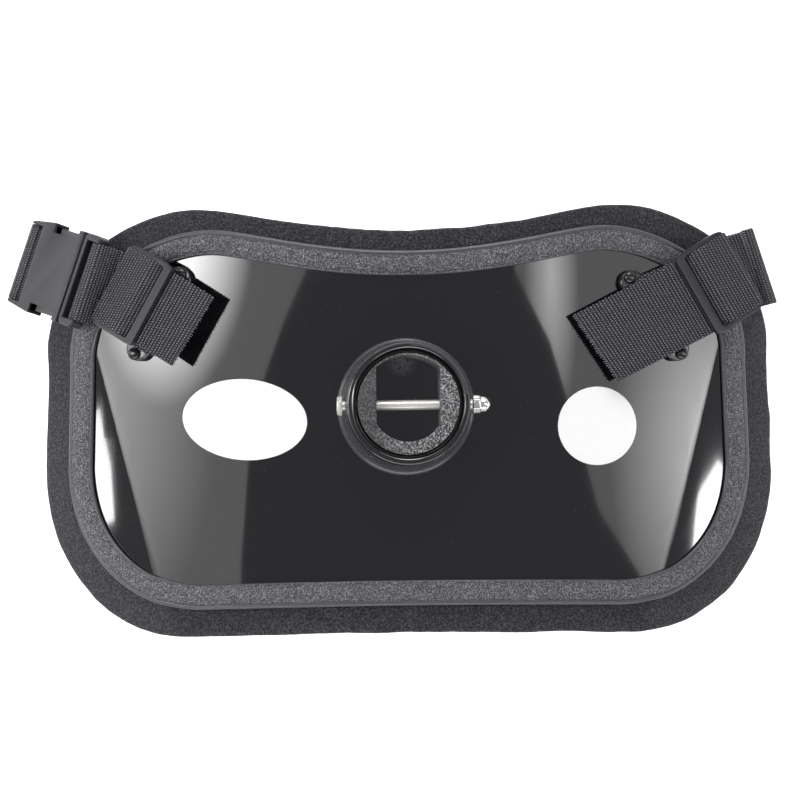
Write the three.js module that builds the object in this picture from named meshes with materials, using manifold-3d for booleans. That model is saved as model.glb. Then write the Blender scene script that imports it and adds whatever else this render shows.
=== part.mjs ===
// Fishing fighting belt, lying on its back with the arched plate up and the waist strap on the ground.
// Millimetres. X runs across the belt, Y from the thighs to the chest, Z out of the front of the plate.
import * as THREE from 'three';
import { mergeVertices } from 'three/addons/utils/BufferGeometryUtils.js';
import Module from 'manifold-3d';

const wasm = await Module();
wasm.setup();

// Fits
const gap = 0.3; // between pieces that touch
const webGap = 0.45; // between webbing and what it passes
const foamGap = 0.8; // between the foam's brushed face and the rubber edge
const grip = 0.6; // between the plate and the faces of the rubber channel

// Arch: a flat middle that carries the cup, sides that curve back, and a wing bent back past a crease
const archFlat = 46;
const archRise = 46;
const archPower = 1.9;
const wingAngle = 13;
const wingRound = 8;
const creaseTopShare = { x: 0.827, y: 0.28 }; // of the pad's half-width, and of its height above the cup
const creaseFootShare = { x: 0.66, y: -0.762 }; // of the half-width, and of the depth below the cup

// Foam pad
const padHalfWidth = 240;
const padShoulder = 127.4; // height of the two shoulders above the cup's axis
const padDip = 15.1; // how far the top edge dips between the shoulders
const padBelow = 149; // depth of the two lower corners below the cup's axis
const padThickness = 12;

// Rubber edge: a channel that grips the plate's rim
const edgeMarginSide = 22.3; // foam showing outside the rubber
const edgeMarginTop = 14.2;
const edgeMarginFoot = 19;
const edgeWidth = 16;
const edgeBack = 1.2; // leg behind the plate
const edgeBackWidth = 9;
const edgeWall = 2.3;
const edgeFront = 3.3; // leg in front of the plate
const edgeSoften = 0.9; // along the foot of its outer side
// Its front in section: inset as a share of its width, rise as a share of the front leg
const edgeFace = [
  { inset: 0, rise: 0.4 },
  { inset: 0.11, rise: 0.8 },
  { inset: 0.31, rise: 1 },
  { inset: 0.7, rise: 1 },
  { inset: 0.825, rise: 0.5 },
  { inset: 1, rise: 0.35 },
];

// Plate
const plateThickness = 3.2;

// Rod cup
const cupRadius = 43.5;
const cupRimRadius = 38.2;
const cupHeight = 35;
const cupFlange = 4;
const cupFlangeStep = 2; // how far the flange stands out from the wall above it
const cupFloor = 4;
const cupCentreX = -0.8;
const cupLeanX = 2; // how far the rim stands off the foot
const cupLeanY = 2.2;
const cupRimWidth = 3.8;
const cupMouthDepth = 7; // the open ring round the insert
const insertRadius = 32;
const insertDrop = 2.6; // from the rim down to the insert
const insertWall = 1.6; // left at the top of the slot
const slotWidth = 40;
const slotRadius = 23.5;

// Cross pin through the cup, with an acorn nut
const pinRadius = 3.175;
const pinHeight = 19;
const headAcross = 12;
const headLength = 3.4;
const nutAcross = 11.8;
const nutLength = 5.6;
const nutDome = 6;
const nutDomeRadius = 4.9;
const nutDomeFoot = 0.4; // upright share of the dome

// Webbing
const webWidth = 50.8;
const webThickness = 1.6;
const sewnLap = 10.5; // of the left strap's sewn end, back from the buckle
const tuckStart = 24.5; // of the main strap's sewn end under the buckle, in from its turn
const tuckEnd = 42;

// Footman loops with two dome screws each
const loopDepth = 16;
const loopBar = 3.5;
const loopEnd = 8; // each solid end beside the webbing
const loopSlack = 0.5;
const screwRadius = 3.9;
const screwDome = 3;
const screwShank = 2;
const domeFoot = 0.25; // upright share of a screw's head

// Strap adjusters
const sliderEnd = 3.2;
const sliderThickness = 3.5;
const sliderBar = 6;
const sliderMiddleBar = 5;
const sliderPitch = 32; // between the middles of the inner and the outer bar
const sliderCorner = 9;
const sliderLevel = 0.5; // how far it has swung from the slope of the belt towards level

// Side release buckle
const buckleWidth = 61;
const buckleThickness = 12.4;
const buckleWall = 2.2;
const bucklePitch = 61; // between the two bars that the webbing goes round
const buckleSlope = 40.5; // down from the pad's side to the ground
const barRadius = 2.6;
const barSlot = 6;
const maleNeck = 3.5;
const maleThickness = 10.4;
const prongWidth = 8;
const prongReach = 24;
const windowLength = 24;

// Plain labels
const labelThickness = 0.4;
const ovalLength = 79;
const ovalWidth = 51.5;
const ovalTurn = -4.8;
const roundDiameter = 50;
const ovalShare = { x: -0.431, y: -0.053 }; // of the pad's half-width, and of its depth below the cup
const roundShare = { x: 0.496, y: -0.099 };

const mouldedEdge = 0.7; // soft edge of the moulded hardware
const outlinePoints = 72;
const roundSides = 32;
const screwSides = 14;

const radians = THREE.MathUtils.degToRad;

// Plan of the belt, right half, from the foot round to the top, as shares of the outline's own sizes:
// x of the half-width, y of the height at the shoulders or of the depth below the cup.
const planShare = {
  footMiddle: { x: 0, y: -0.977 },
  footRise: { x: 0.34, y: -0.977 },
  footEnd: { x: 0.6, y: -0.992 },
  footPull: { x: 0.79, y: -1 },
  sidePull: { x: 0.995, y: -0.77 },
  sideFoot: { x: 1, y: -0.3 },
  sideTop: { x: 0.987, y: 0.251 },
  shoulderPullLow: { x: 1, y: 0.725 },
  shoulderPullHigh: { x: 0.752, y: 1 },
  shoulder: { x: 0.57, y: 1 },
  dipPullHigh: { x: 0.47, y: 1 },
  dipPullLow: { x: 0.279, y: 1 },
};

// Lines of the two straps in plan, from the free end outward. x and y are shares of the pad's half-width
// and of its shoulder height; turn is how far the webbing's width leans from the belt's height, in degrees.
// sliderSpare is the free height below the adjuster and its layers, over the rubber edge; tailSpare is the
// free end's height over the plate.
const strapLine = {
  right: {
    sign: 1,
    tail: { x: 0.496, y: 0.271, turn: 34 },
    loop: { x: 0.653, y: 0.433, turn: 34.3 },
    slider: { x: 0.777, y: 0.533, turn: 31 },
    fold: { x: 0.91, y: 0.662, turn: 25.3 },
    end: { x: 0.978, y: 0.695, turn: 17.2 },
    sliderSpare: 2.4,
    sliderSlope: 19,
    tailSpare: 10.4,
  },
  left: {
    sign: -1,
    tail: { x: 0.564, y: 0.379, turn: 32.3 },
    loop: { x: 0.656, y: 0.473, turn: 31.8 },
    slider: { x: 0.679, y: 0.513, turn: 31.5 },
    fold: { x: 0.798, y: 0.606, turn: 19.7 },
    end: { x: 1.022, y: 0.738, turn: 17.3 },
    sliderSpare: 9.9,
    sliderSlope: 34,
    tailSpare: 22.2,
  },
};

// Surface of the belt: the front of the foam, as a drop behind its crown, and the layers in front of it
const creaseTop = new THREE.Vector2(creaseTopShare.x * padHalfWidth, creaseTopShare.y * padShoulder);
const creaseFoot = new THREE.Vector2(creaseFootShare.x * padHalfWidth, creaseFootShare.y * padBelow);
const creaseRun = creaseTop.clone().sub(creaseFoot).normalize();

function dropAt(x, y) {
  const pastFlat = Math.max(Math.abs(x) - archFlat, 0);
  const arch = archRise * (pastFlat / (padHalfWidth - archFlat)) ** archPower;
  const pastCrease = (Math.abs(x) - creaseTop.x) * creaseRun.y - (y - creaseTop.y) * creaseRun.x;
  let bend = Math.max(pastCrease, 0);
  if (Math.abs(pastCrease) < wingRound) {
    bend = (pastCrease + wingRound) ** 2 / (4 * wingRound);
  }
  return arch + Math.tan(radians(wingAngle)) * bend;
}

function normalAt(x, y) {
  const step = 0.5;
  const slopeX = (dropAt(x + step, y) - dropAt(x - step, y)) / (2 * step);
  const slopeY = (dropAt(x, y + step) - dropAt(x, y - step)) / (2 * step);
  return new THREE.Vector3(slopeX, slopeY, 1).normalize();
}

function layerPoint(x, y, height) {
  return new THREE.Vector3(x, y, -dropAt(x, y)).addScaledVector(normalAt(x, y), height);
}

const layerPitch = webThickness + webGap;
const plateBack = foamGap + edgeBack + grip;
const plateFront = plateBack + plateThickness;
const edgeTop = plateFront + grip + edgeFront;

// Outlines
function beltOutline(marginSide, marginTop, marginFoot) {
  const halfWidth = padHalfWidth - marginSide;
  const above = padShoulder - marginTop;
  const below = padBelow - marginFoot;
  const at = (name) => {
    const share = planShare[name];
    return [share.x * halfWidth, share.y * (share.y > 0 ? above : below)];
  };
  const top = above - padDip;
  const path = new THREE.Path();
  path.moveTo(...at('footMiddle'));
  path.quadraticCurveTo(...at('footRise'), ...at('footEnd'));
  path.bezierCurveTo(...at('footPull'), ...at('sidePull'), ...at('sideFoot'));
  path.lineTo(...at('sideTop'));
  path.bezierCurveTo(...at('shoulderPullLow'), ...at('shoulderPullHigh'), ...at('shoulder'));
  path.bezierCurveTo(...at('dipPullHigh'), planShare.dipPullLow.x * halfWidth, top, 0, top);
  const right = path.getSpacedPoints(outlinePoints / 2);
  const left = right.slice(1, -1).reverse().map((p) => new THREE.Vector2(-p.x, p.y));
  return [...right, ...left];
}

function insetPoint(outline, index, inset) {
  const count = outline.length;
  const before = outline[(index + count - 1) % count];
  const after = outline[(index + 1) % count];
  const run = after.clone().sub(before).normalize();
  return new THREE.Vector2(outline[index].x - run.y * inset, outline[index].y + run.x * inset);
}

function ellipseOutline(centreX, centreY, length, width, turn, count) {
  const curve = new THREE.EllipseCurve(
    centreX, centreY, length / 2, width / 2, 0, 2 * Math.PI, false, radians(turn));
  return curve.getPoints(count).slice(0, -1);
}

// Shapes
function meshGeometry(points, faces) {
  const geometry = new THREE.BufferGeometry();
  geometry.setFromPoints(points);
  geometry.setIndex(faces);
  geometry.computeVertexNormals();
  return geometry;
}

// Loops from the middle out to an outline
function innerLoops(outline, middle, shares) {
  return shares.map((share) => outline.map((corner) => middle.clone().lerp(corner, share)));
}

// A sheet that follows the belt between two layers, built as loops round its middle
function layerSheet(loops, middle, back, front) {
  const count = loops[0].length;
  const points = [];
  const faces = [];
  for (const height of [back, front]) {
    points.push(layerPoint(middle.x, middle.y, height));
    loops.flat().forEach((at) => points.push(layerPoint(at.x, at.y, height)));
  }
  const sheetSize = 1 + loops.length * count;
  const vertex = (sheet, ring, i) => sheet * sheetSize + 1 + ring * count + (i % count);
  const quad = (a, b, c, d) => faces.push(a, b, c, a, c, d);
  const last = loops.length - 1;
  for (let i = 0; i < count; i += 1) {
    faces.push(sheetSize, vertex(1, 0, i), vertex(1, 0, i + 1));
    faces.push(0, vertex(0, 0, i + 1), vertex(0, 0, i));
    for (let ring = 0; ring < last; ring += 1) {
      quad(vertex(1, ring, i), vertex(1, ring + 1, i), vertex(1, ring + 1, i + 1), vertex(1, ring, i + 1));
      quad(vertex(0, ring, i), vertex(0, ring, i + 1), vertex(0, ring + 1, i + 1), vertex(0, ring + 1, i));
    }
    quad(vertex(0, last, i), vertex(0, last, i + 1), vertex(1, last, i + 1), vertex(1, last, i));
  }
  return meshGeometry(points, faces);
}

// A section carried round an outline; each corner is an inset from the outline and a layer height
function layerRing(outline, section) {
  const points = [];
  const faces = [];
  const size = section.length;
  outline.forEach((_, i) => {
    for (const { inset, height } of section) {
      const at = insetPoint(outline, i, inset);
      points.push(layerPoint(at.x, at.y, height));
    }
  });
  for (let i = 0; i < outline.length; i += 1) {
    const next = (i + 1) % outline.length;
    for (let j = 0; j < size; j += 1) {
      const up = (j + 1) % size;
      faces.push(i * size + j, next * size + j, next * size + up);
      faces.push(i * size + j, next * size + up, i * size + up);
    }
  }
  return meshGeometry(points, faces);
}

// Joins and cuts
function solidOf(geometry) {
  const bare = geometry.clone();
  bare.deleteAttribute('normal');
  bare.deleteAttribute('uv');
  const merged = mergeVertices(bare);
  const vertProperties = new Float32Array(merged.attributes.position.array);
  const triVerts = new Uint32Array(merged.index.array);
  return new wasm.Manifold(new wasm.Mesh({ numProp: 3, vertProperties, triVerts }));
}

function geometryOf(solid) {
  const mesh = solid.getMesh();
  const geometry = new THREE.BufferGeometry();
  geometry.setAttribute('position', new THREE.BufferAttribute(new Float32Array(mesh.vertProperties), 3));
  geometry.setIndex(new THREE.BufferAttribute(new Uint32Array(mesh.triVerts), 1));
  geometry.computeVertexNormals();
  return geometry;
}

function cut(body, ...tools) {
  return geometryOf(tools.reduce((solid, tool) => solid.subtract(solidOf(tool)), solidOf(body)));
}

function join(body, ...others) {
  return geometryOf(others.reduce((solid, other) => solid.add(solidOf(other)), solidOf(body)));
}

// A box between two corners
function block(low, high) {
  const size = high.map((value, i) => value - low[i]);
  const middle = high.map((value, i) => (value + low[i]) / 2);
  return new THREE.BoxGeometry(...size).translate(...middle);
}

function rectangle(lowX, lowY, highX, highY) {
  const corners = [[lowX, lowY], [highX, lowY], [highX, highY], [lowX, highY]];
  return new THREE.Path(corners.map(([x, y]) => new THREE.Vector2(x, y)));
}

function roundedRectangle(target, lowX, lowY, highX, highY, corner) {
  target.moveTo(lowX + corner, lowY);
  target.lineTo(highX - corner, lowY);
  target.absarc(highX - corner, lowY + corner, corner, -Math.PI / 2, 0, false);
  target.lineTo(highX, highY - corner);
  target.absarc(highX - corner, highY - corner, corner, 0, Math.PI / 2, false);
  target.lineTo(lowX + corner, highY);
  target.absarc(lowX + corner, highY - corner, corner, Math.PI / 2, Math.PI, false);
  target.lineTo(lowX, lowY + corner);
  target.absarc(lowX + corner, lowY + corner, corner, Math.PI, 1.5 * Math.PI, false);
  return target;
}

// A plate with rounded edges from its shape in plan, centred on its own thickness
function mouldedPlate(shape, thickness, edge, curveSegments) {
  const options = {
    depth: thickness - 2 * edge,
    bevelThickness: edge,
    bevelSize: edge,
    bevelOffset: -edge,
    bevelSegments: 1,
    curveSegments,
  };
  return new THREE.ExtrudeGeometry(shape, options).translate(0, 0, edge - thickness / 2);
}

// Places along a strap: distance outward from the footman loop, and height above the front of the foam
function strapPlaces(line) {
  const names = ['tail', 'loop', 'slider', 'fold', 'end'];
  const knots = names.map((name) => {
    const { x, y, turn } = line[name];
    return { at: 0, turn, plan: new THREE.Vector2(line.sign * x * padHalfWidth, y * padShoulder) };
  });
  knots.slice(1).forEach((knot, i) => {
    knot.at = knots[i].at + knot.plan.distanceTo(knots[i].plan);
  });
  const loopAt = knots[1].at;
  knots.forEach((knot) => {
    knot.at -= loopAt;
  });
  const distance = Object.fromEntries(names.map((name, i) => [name, knots[i].at]));
  const widthAt = (normal, turn) => {
    const outward = new THREE.Vector3(line.sign * Math.cos(turn), Math.sin(turn), 0);
    return new THREE.Vector3().crossVectors(normal, outward).normalize();
  };
  const place = (at, height) => {
    const found = knots.findIndex((knot, i) => i > 0 && at <= knot.at);
    const upper = found < 0 ? knots.length - 1 : found;
    const share = (at - knots[upper - 1].at) / (knots[upper].at - knots[upper - 1].at);
    const plan = knots[upper - 1].plan.clone().lerp(knots[upper].plan, share);
    const turn = radians(THREE.MathUtils.lerp(knots[upper - 1].turn, knots[upper].turn, share));
    const normal = normalAt(plan.x, plan.y);
    const point = new THREE.Vector3(plan.x, plan.y, height / normal.z - dropAt(plan.x, plan.y));
    return { point, width: widthAt(normal, turn), normal, turn };
  };
  return { line, distance, place };
}

const right = strapPlaces(strapLine.right);
const left = strapPlaces(strapLine.left);

// A hardware frame: X outward along the strap, Y across it, Z away from the belt
function frameOf(origin, outward, width) {
  const across = width.clone().addScaledVector(outward, -width.dot(outward)).normalize();
  const away = new THREE.Vector3().crossVectors(outward, across);
  return new THREE.Matrix4().makeBasis(outward, across, away).setPosition(origin);
}

// The width direction of something held level across a strap
function levelWidth(strap, turn) {
  const { sign } = strap.line;
  return new THREE.Vector3(-Math.sin(turn), sign * Math.cos(turn), 0);
}

function slopedFrame(point, width, slope) {
  const level = new THREE.Vector3().crossVectors(width, new THREE.Vector3(0, 0, 1)).normalize();
  const outward = level.multiplyScalar(Math.cos(radians(slope)));
  outward.z = -Math.sin(radians(slope));
  return frameOf(point, outward, width);
}

function loopFrame(strap) {
  const { point, width, normal } = strap.place(0, plateFront);
  return frameOf(point, new THREE.Vector3().crossVectors(width, normal), width);
}

function sliderFrame(strap) {
  const lift = edgeTop + 3 * layerPitch + sliderThickness / 2 + strap.line.sliderSpare;
  const { point, width, turn } = strap.place(strap.distance.slider, lift);
  return slopedFrame(point, width.lerp(levelWidth(strap, turn), sliderLevel), strap.line.sliderSlope);
}

// The buckle starts just past the left adjuster's fold and slopes down past the pad's side
const maleBarAt = left.distance.fold + sliderBar + 2 * barRadius + webThickness;
const maleBarLift = edgeTop + 3 * webThickness + 2 * barRadius - webGap;
const maleBarPlace = left.place(maleBarAt, maleBarLift);
const buckleFrame = slopedFrame(maleBarPlace.point, levelWidth(left, maleBarPlace.turn), buckleSlope);

// A stretch of webbing through stations, each with a point, the direction of its width and a corner round
function station(point, width, round = 0) {
  return { point, width, round };
}

function placed(strap, at, height, round = 0) {
  const { point, width } = strap.place(at, height);
  return station(point, width, round);
}

function inFrame(frame, x, z, round = 0) {
  const width = new THREE.Vector3().setFromMatrixColumn(frame, 1);
  return station(new THREE.Vector3(x, 0, z).applyMatrix4(frame), width, round);
}

function smoothRoute(route) {
  const steps = 4;
  return route.flatMap((here, i) => {
    if (here.round === 0) {
      return [here];
    }
    const toBefore = route[i - 1].point.clone().sub(here.point).setLength(here.round);
    const toAfter = route[i + 1].point.clone().sub(here.point).setLength(here.round);
    const from = here.point.clone().add(toBefore);
    const to = here.point.clone().add(toAfter);
    const corner = new THREE.QuadraticBezierCurve3(from, here.point, to);
    return corner.getPoints(steps).map((point) => station(point, here.width));
  });
}

function webbing(route) {
  const stations = smoothRoute(route);
  const last = stations.length - 1;
  const points = [];
  const faces = [];
  stations.forEach(({ point, width }, i) => {
    const before = stations[Math.max(i - 1, 0)].point;
    const after = stations[Math.min(i + 1, last)].point;
    const run = after.clone().sub(before).normalize();
    const face = new THREE.Vector3().crossVectors(run, width).normalize();
    for (const [side, cover] of [[-1, -1], [1, -1], [1, 1], [-1, 1]]) {
      const corner = point.clone().addScaledVector(width, side * webWidth / 2);
      points.push(corner.addScaledVector(face, cover * webThickness / 2));
    }
  });
  for (let i = 0; i < last; i += 1) {
    for (let j = 0; j < 4; j += 1) {
      const a = 4 * i + j;
      const b = 4 * i + ((j + 1) % 4);
      faces.push(a, b, b + 4, a, b + 4, a + 4);
    }
  }
  faces.push(0, 2, 1, 0, 3, 2);
  const end = 4 * last;
  faces.push(end, end + 1, end + 2, end, end + 2, end + 3);
  return meshGeometry(points, faces);
}

// Heights of the webbing's middle at the loop, above the plate, and at the adjuster, from its own middle
const underLoop = webGap + webThickness / 2;
const loopOpening = gap + webThickness + loopSlack;
const loopFront = loopOpening + loopBar;
const overLoop = loopFront + webGap + webThickness / 2;
const besideSlider = sliderThickness / 2 + webGap + webThickness / 2;
const barRound = webThickness;

// From the free end: over the loop, under the adjuster's inner bar, round its outer bar, back under it
// to the loop, round the loop's bar, and out along the plate
function adjustedEnd(strap) {
  const slider = sliderFrame(strap);
  const loop = loopFrame(strap);
  const innerEdge = sliderBar / 2;
  const middleEdge = (sliderPitch - sliderMiddleBar) / 2;
  const foldX = sliderPitch + sliderBar / 2 + webGap + webThickness / 2;
  const turnX = loopDepth / 2 + webGap + webThickness / 2;
  const pastLoop = loopDepth / 2 + webThickness;
  return [
    placed(strap, strap.distance.tail, plateFront + strap.line.tailSpare),
    inFrame(slider, -innerEdge - webThickness, -besideSlider),
    inFrame(slider, innerEdge + webGap, -besideSlider, webThickness),
    inFrame(slider, middleEdge - webThickness, besideSlider, webThickness),
    inFrame(slider, foldX, besideSlider, besideSlider),
    inFrame(slider, foldX, -besideSlider, besideSlider),
    inFrame(slider, sliderPitch - sliderBar, -besideSlider - webGap),
    inFrame(slider, innerEdge, -besideSlider - layerPitch),
    inFrame(loop, pastLoop, overLoop),
    inFrame(loop, 0, overLoop),
    inFrame(loop, -turnX, overLoop, barRound),
    inFrame(loop, -turnX, underLoop, barRound),
    inFrame(loop, pastLoop, underLoop),
  ];
}

const overEdge = edgeTop + webGap + webThickness / 2;
const ground = -Math.max(...beltOutline(0, 0, 0).map(({ x, y }) => -layerPoint(x, y, -padThickness).z));

const overFoam = 2 * webGap + webThickness / 2;

// The lowest layer, following the rubber edge between two distances along a strap
function overRubber(strap, from, to) {
  const steps = 3;
  const shares = Array.from({ length: steps + 1 }, (_, i) => i / steps);
  return shares.map((share) => placed(strap, THREE.MathUtils.lerp(from, to, share), overEdge));
}

// Places straight above or below the strap's line, by height over the ground
function standing(strap, at, height, round = 0) {
  const { point, turn } = strap.place(at, 0);
  return station(new THREE.Vector3(point.x, point.y, ground + height), levelWidth(strap, turn), round);
}

function turned(place) {
  return station(place.point, place.width.clone().negate(), place.round);
}

const groundLift = webThickness / 2;
const cornerLift = 28; // height of the strap where it turns down past the pad's right side
const turnRound = 7;

function mainRoute() {
  const rightEdge = right.distance.end - webThickness / 2;
  const leftEdge = left.distance.end - webThickness / 2;
  const wrap = barRadius + webGap + webThickness / 2;
  const rightGround = standing(right, rightEdge, groundLift, turnRound);
  const leftGround = turned(standing(left, leftEdge, groundLift, turnRound / 2));
  const rubberEnd = right.distance.slider + 1.6 * edgeWidth;
  const start = standing(right, rightEdge - 2 * turnRound, groundLift).point;
  const finish = standing(left, leftEdge - 2 * turnRound, groundLift).point;
  const middleX = (start.x + finish.x) / 2;
  const pull = start.y - Math.tan(radians(right.line.end.turn)) * (start.x - middleX);
  const around = new THREE.QuadraticBezierCurve3(start, new THREE.Vector3(middleX, pull, start.z), finish);
  const steps = 14;
  const groundRun = around.getPoints(steps).map((point, i) => {
    const run = around.getTangent(i / steps);
    return station(point, new THREE.Vector3(run.y, -run.x, 0));
  });
  return [
    ...adjustedEnd(right),
    ...overRubber(right, right.distance.slider / 2 + loopDepth / 4, rubberEnd),
    placed(right, right.distance.fold - sliderBar / 2, overFoam, webThickness),
    placed(right, right.distance.fold + sliderBar, overFoam, webThickness),
    standing(right, rightEdge, cornerLift, turnRound),
    rightGround,
    ...groundRun,
    leftGround,
    turned(inFrame(buckleFrame, bucklePitch + wrap, wrap, barRound)),
    turned(inFrame(buckleFrame, bucklePitch - wrap, wrap, barRound)),
    turned(inFrame(buckleFrame, bucklePitch - wrap, -wrap - webGap, webGap)),
    turned(standing(left, leftEdge - tuckStart, groundLift + layerPitch + webGap, webThickness)),
    turned(standing(left, leftEdge - tuckEnd, groundLift + layerPitch)),
  ];
}

function leftRoute() {
  const wrap = barRadius + webGap + webThickness / 2;
  return [
    ...adjustedEnd(left),
    ...overRubber(left, left.distance.fold / 2, left.distance.fold),
    inFrame(buckleFrame, -wrap, wrap, webThickness),
    inFrame(buckleFrame, wrap, wrap, barRound),
    inFrame(buckleFrame, wrap, -wrap, barRound),
    placed(left, maleBarAt - wrap, overEdge, webThickness),
    placed(left, maleBarAt - sewnLap, overEdge),
  ];
}

// Cup
const wallFoot = cupRadius - cupFlangeStep;
const wallRadius = (height) => THREE.MathUtils.lerp(wallFoot, cupRimRadius, height / cupHeight);
const boreRadius = insertRadius + gap;
const mouthRadius = cupRimRadius - cupRimWidth;
const cupFoot = plateFront + gap;

// Turns a shape from the axis up into the cup, which leans as it rises
function leaning(geometry) {
  const lean = new THREE.Matrix4().makeShear(0, 0, 0, 0, cupLeanX / cupHeight, cupLeanY / cupHeight);
  return geometry.applyMatrix4(lean).translate(cupCentreX - cupLeanX / 2, -cupLeanY / 2, cupFoot);
}

function turnedShape(profile, sides) {
  const line = profile.map(([r, z]) => new THREE.Vector2(r, z));
  return new THREE.LatheGeometry(line, sides).rotateX(Math.PI / 2);
}

function pinTool(radius, from, to, sides = 16) {
  const tool = new THREE.CylinderGeometry(radius, radius, to - from, sides);
  return tool.rotateZ(-Math.PI / 2).translate((from + to) / 2, pinY, cupFoot + pinHeight);
}

const pinX = cupCentreX + cupLeanX * (pinHeight / cupHeight - 0.5);
const pinY = cupLeanY * (pinHeight / cupHeight - 0.5);
const pinSeat = wallRadius(pinHeight - headAcross / 2) + 2 * gap;
const pinSeatLeft = pinX - pinSeat;
const pinSeatRight = pinX + pinSeat;

function rodCup() {
  const soften = 1;
  const body = leaning(turnedShape([
    [0, 0],
    [cupRadius - soften, 0],
    [cupRadius, soften],
    [cupRadius, cupFlange],
    [wallRadius(cupFlange), cupFlange + 2 * soften],
    [wallRadius(cupHeight), cupHeight - soften],
    [cupRimRadius - soften, cupHeight],
    [mouthRadius + soften / 2, cupHeight],
    [mouthRadius, cupHeight - soften],
    [mouthRadius, cupHeight - cupMouthDepth],
    [boreRadius, cupHeight - cupMouthDepth - soften],
    [boreRadius, cupFloor],
    [0, cupFloor],
  ], roundSides));
  return cut(body, pinTool(pinRadius + gap, pinSeatLeft - gap, pinSeatRight + gap));
}

function cupInsert() {
  const shape = new THREE.Shape();
  shape.absarc(0, 0, insertRadius, 0, 2 * Math.PI, false);
  const slot = new THREE.Path();
  const half = slotWidth / 2;
  const topRadius = insertRadius - insertWall;
  const topAngle = Math.acos(half / topRadius);
  const footAngle = Math.acos(half / slotRadius);
  slot.absarc(0, 0, topRadius, topAngle, Math.PI - topAngle, false);
  slot.absarc(0, 0, slotRadius, Math.PI + footAngle, 2 * Math.PI - footAngle, false);
  slot.closePath();
  shape.holes.push(slot);
  const depth = cupHeight - insertDrop - cupFloor - gap;
  const curveSegments = roundSides / 2;
  const body = new THREE.ExtrudeGeometry(shape, { depth, bevelEnabled: false, curveSegments });
  leaning(body.translate(0, 0, cupFloor + gap));
  return cut(body, pinTool(pinRadius + gap, pinSeatLeft, pinSeatRight));
}

function gimbalPin() {
  const shankEnd = pinSeatRight + nutLength;
  const head = pinTool(headAcross / 2, pinSeatLeft - headLength, pinSeatLeft, 6);
  return join(head, pinTool(pinRadius, pinSeatLeft - headLength / 2, shankEnd));
}

function acornNut() {
  const corner = nutAcross / 2;
  const hex = pinTool(corner, pinSeatRight, pinSeatRight + nutLength, 6);
  const profile = [[0, 0], [nutDomeRadius, 0], [nutDomeRadius, nutDome * nutDomeFoot]];
  const arcSteps = 3;
  for (let i = 1; i <= arcSteps; i += 1) {
    const angle = (i / arcSteps) * Math.PI / 2;
    const radius = i === arcSteps ? 0 : nutDomeRadius * Math.cos(angle);
    profile.push([radius, nutDome * (nutDomeFoot + (1 - nutDomeFoot) * Math.sin(angle))]);
  }
  const dome = turnedShape(profile, screwSides).rotateY(Math.PI / 2);
  dome.translate(pinSeatRight + nutLength - gap, pinY, cupFoot + pinHeight);
  const bore = pinTool(pinRadius + gap, pinSeatRight - gap, pinSeatRight + nutLength + gap);
  return cut(join(hex, dome), bore);
}

// Strap hardware, each in its own frame
const loopHalf = webWidth / 2 + webGap;
const screwY = loopHalf + loopEnd / 2;

function footmanLoop() {
  const half = loopDepth / 2;
  const end = loopHalf + loopEnd;
  const shape = roundedRectangle(new THREE.Shape(), -half, -end, half, end, half - gap);
  const height = loopFront - gap;
  const body = mouldedPlate(shape, height, mouldedEdge, 4).translate(0, 0, gap + height / 2);
  const tools = [block([-loopDepth, -loopHalf, -1], [loopDepth, loopHalf, loopOpening])];
  for (const side of [-1, 1]) {
    const hole = new THREE.CylinderGeometry(screwShank + gap, screwShank + gap, 3 * height, 12);
    tools.push(hole.rotateX(Math.PI / 2).translate(0, side * screwY, 0));
  }
  return cut(body, ...tools);
}

function domeScrew(side) {
  const seat = loopFront + gap;
  const profile = [[0, gap], [screwShank, gap], [screwShank, seat], [screwRadius, seat]];
  const arcSteps = 3;
  for (let i = 1; i <= arcSteps; i += 1) {
    const angle = (i / arcSteps) * Math.PI / 2;
    const radius = i === arcSteps ? 0 : screwRadius * Math.cos(angle);
    profile.push([radius, seat + screwDome * (domeFoot + (1 - domeFoot) * Math.sin(angle))]);
  }
  return turnedShape(profile, screwSides).translate(0, side * screwY, 0);
}

function strapSlider() {
  const middleEdge = (sliderPitch - sliderMiddleBar) / 2;
  const half = webWidth / 2 + sliderEnd;
  const lowX = -sliderBar / 2;
  const highX = sliderPitch + sliderBar / 2;
  const shape = roundedRectangle(new THREE.Shape(), lowX, -half, highX, half, sliderCorner);
  const slotHalf = webWidth / 2 + webGap;
  const slots = [[sliderBar / 2, middleEdge], [sliderPitch - middleEdge, sliderPitch - sliderBar / 2]].map(
    ([from, to]) => block([from, -slotHalf, -sliderThickness], [to, slotHalf, sliderThickness]));
  return cut(mouldedPlate(shape, sliderThickness, mouldedEdge, 4), ...slots);
}

// Buckle, in a frame whose X runs from the middle of the inner bar to the middle of the outer one
const bodyStart = barRadius + barSlot + maleNeck;
const bodyEnd = bucklePitch + barRadius;

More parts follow.
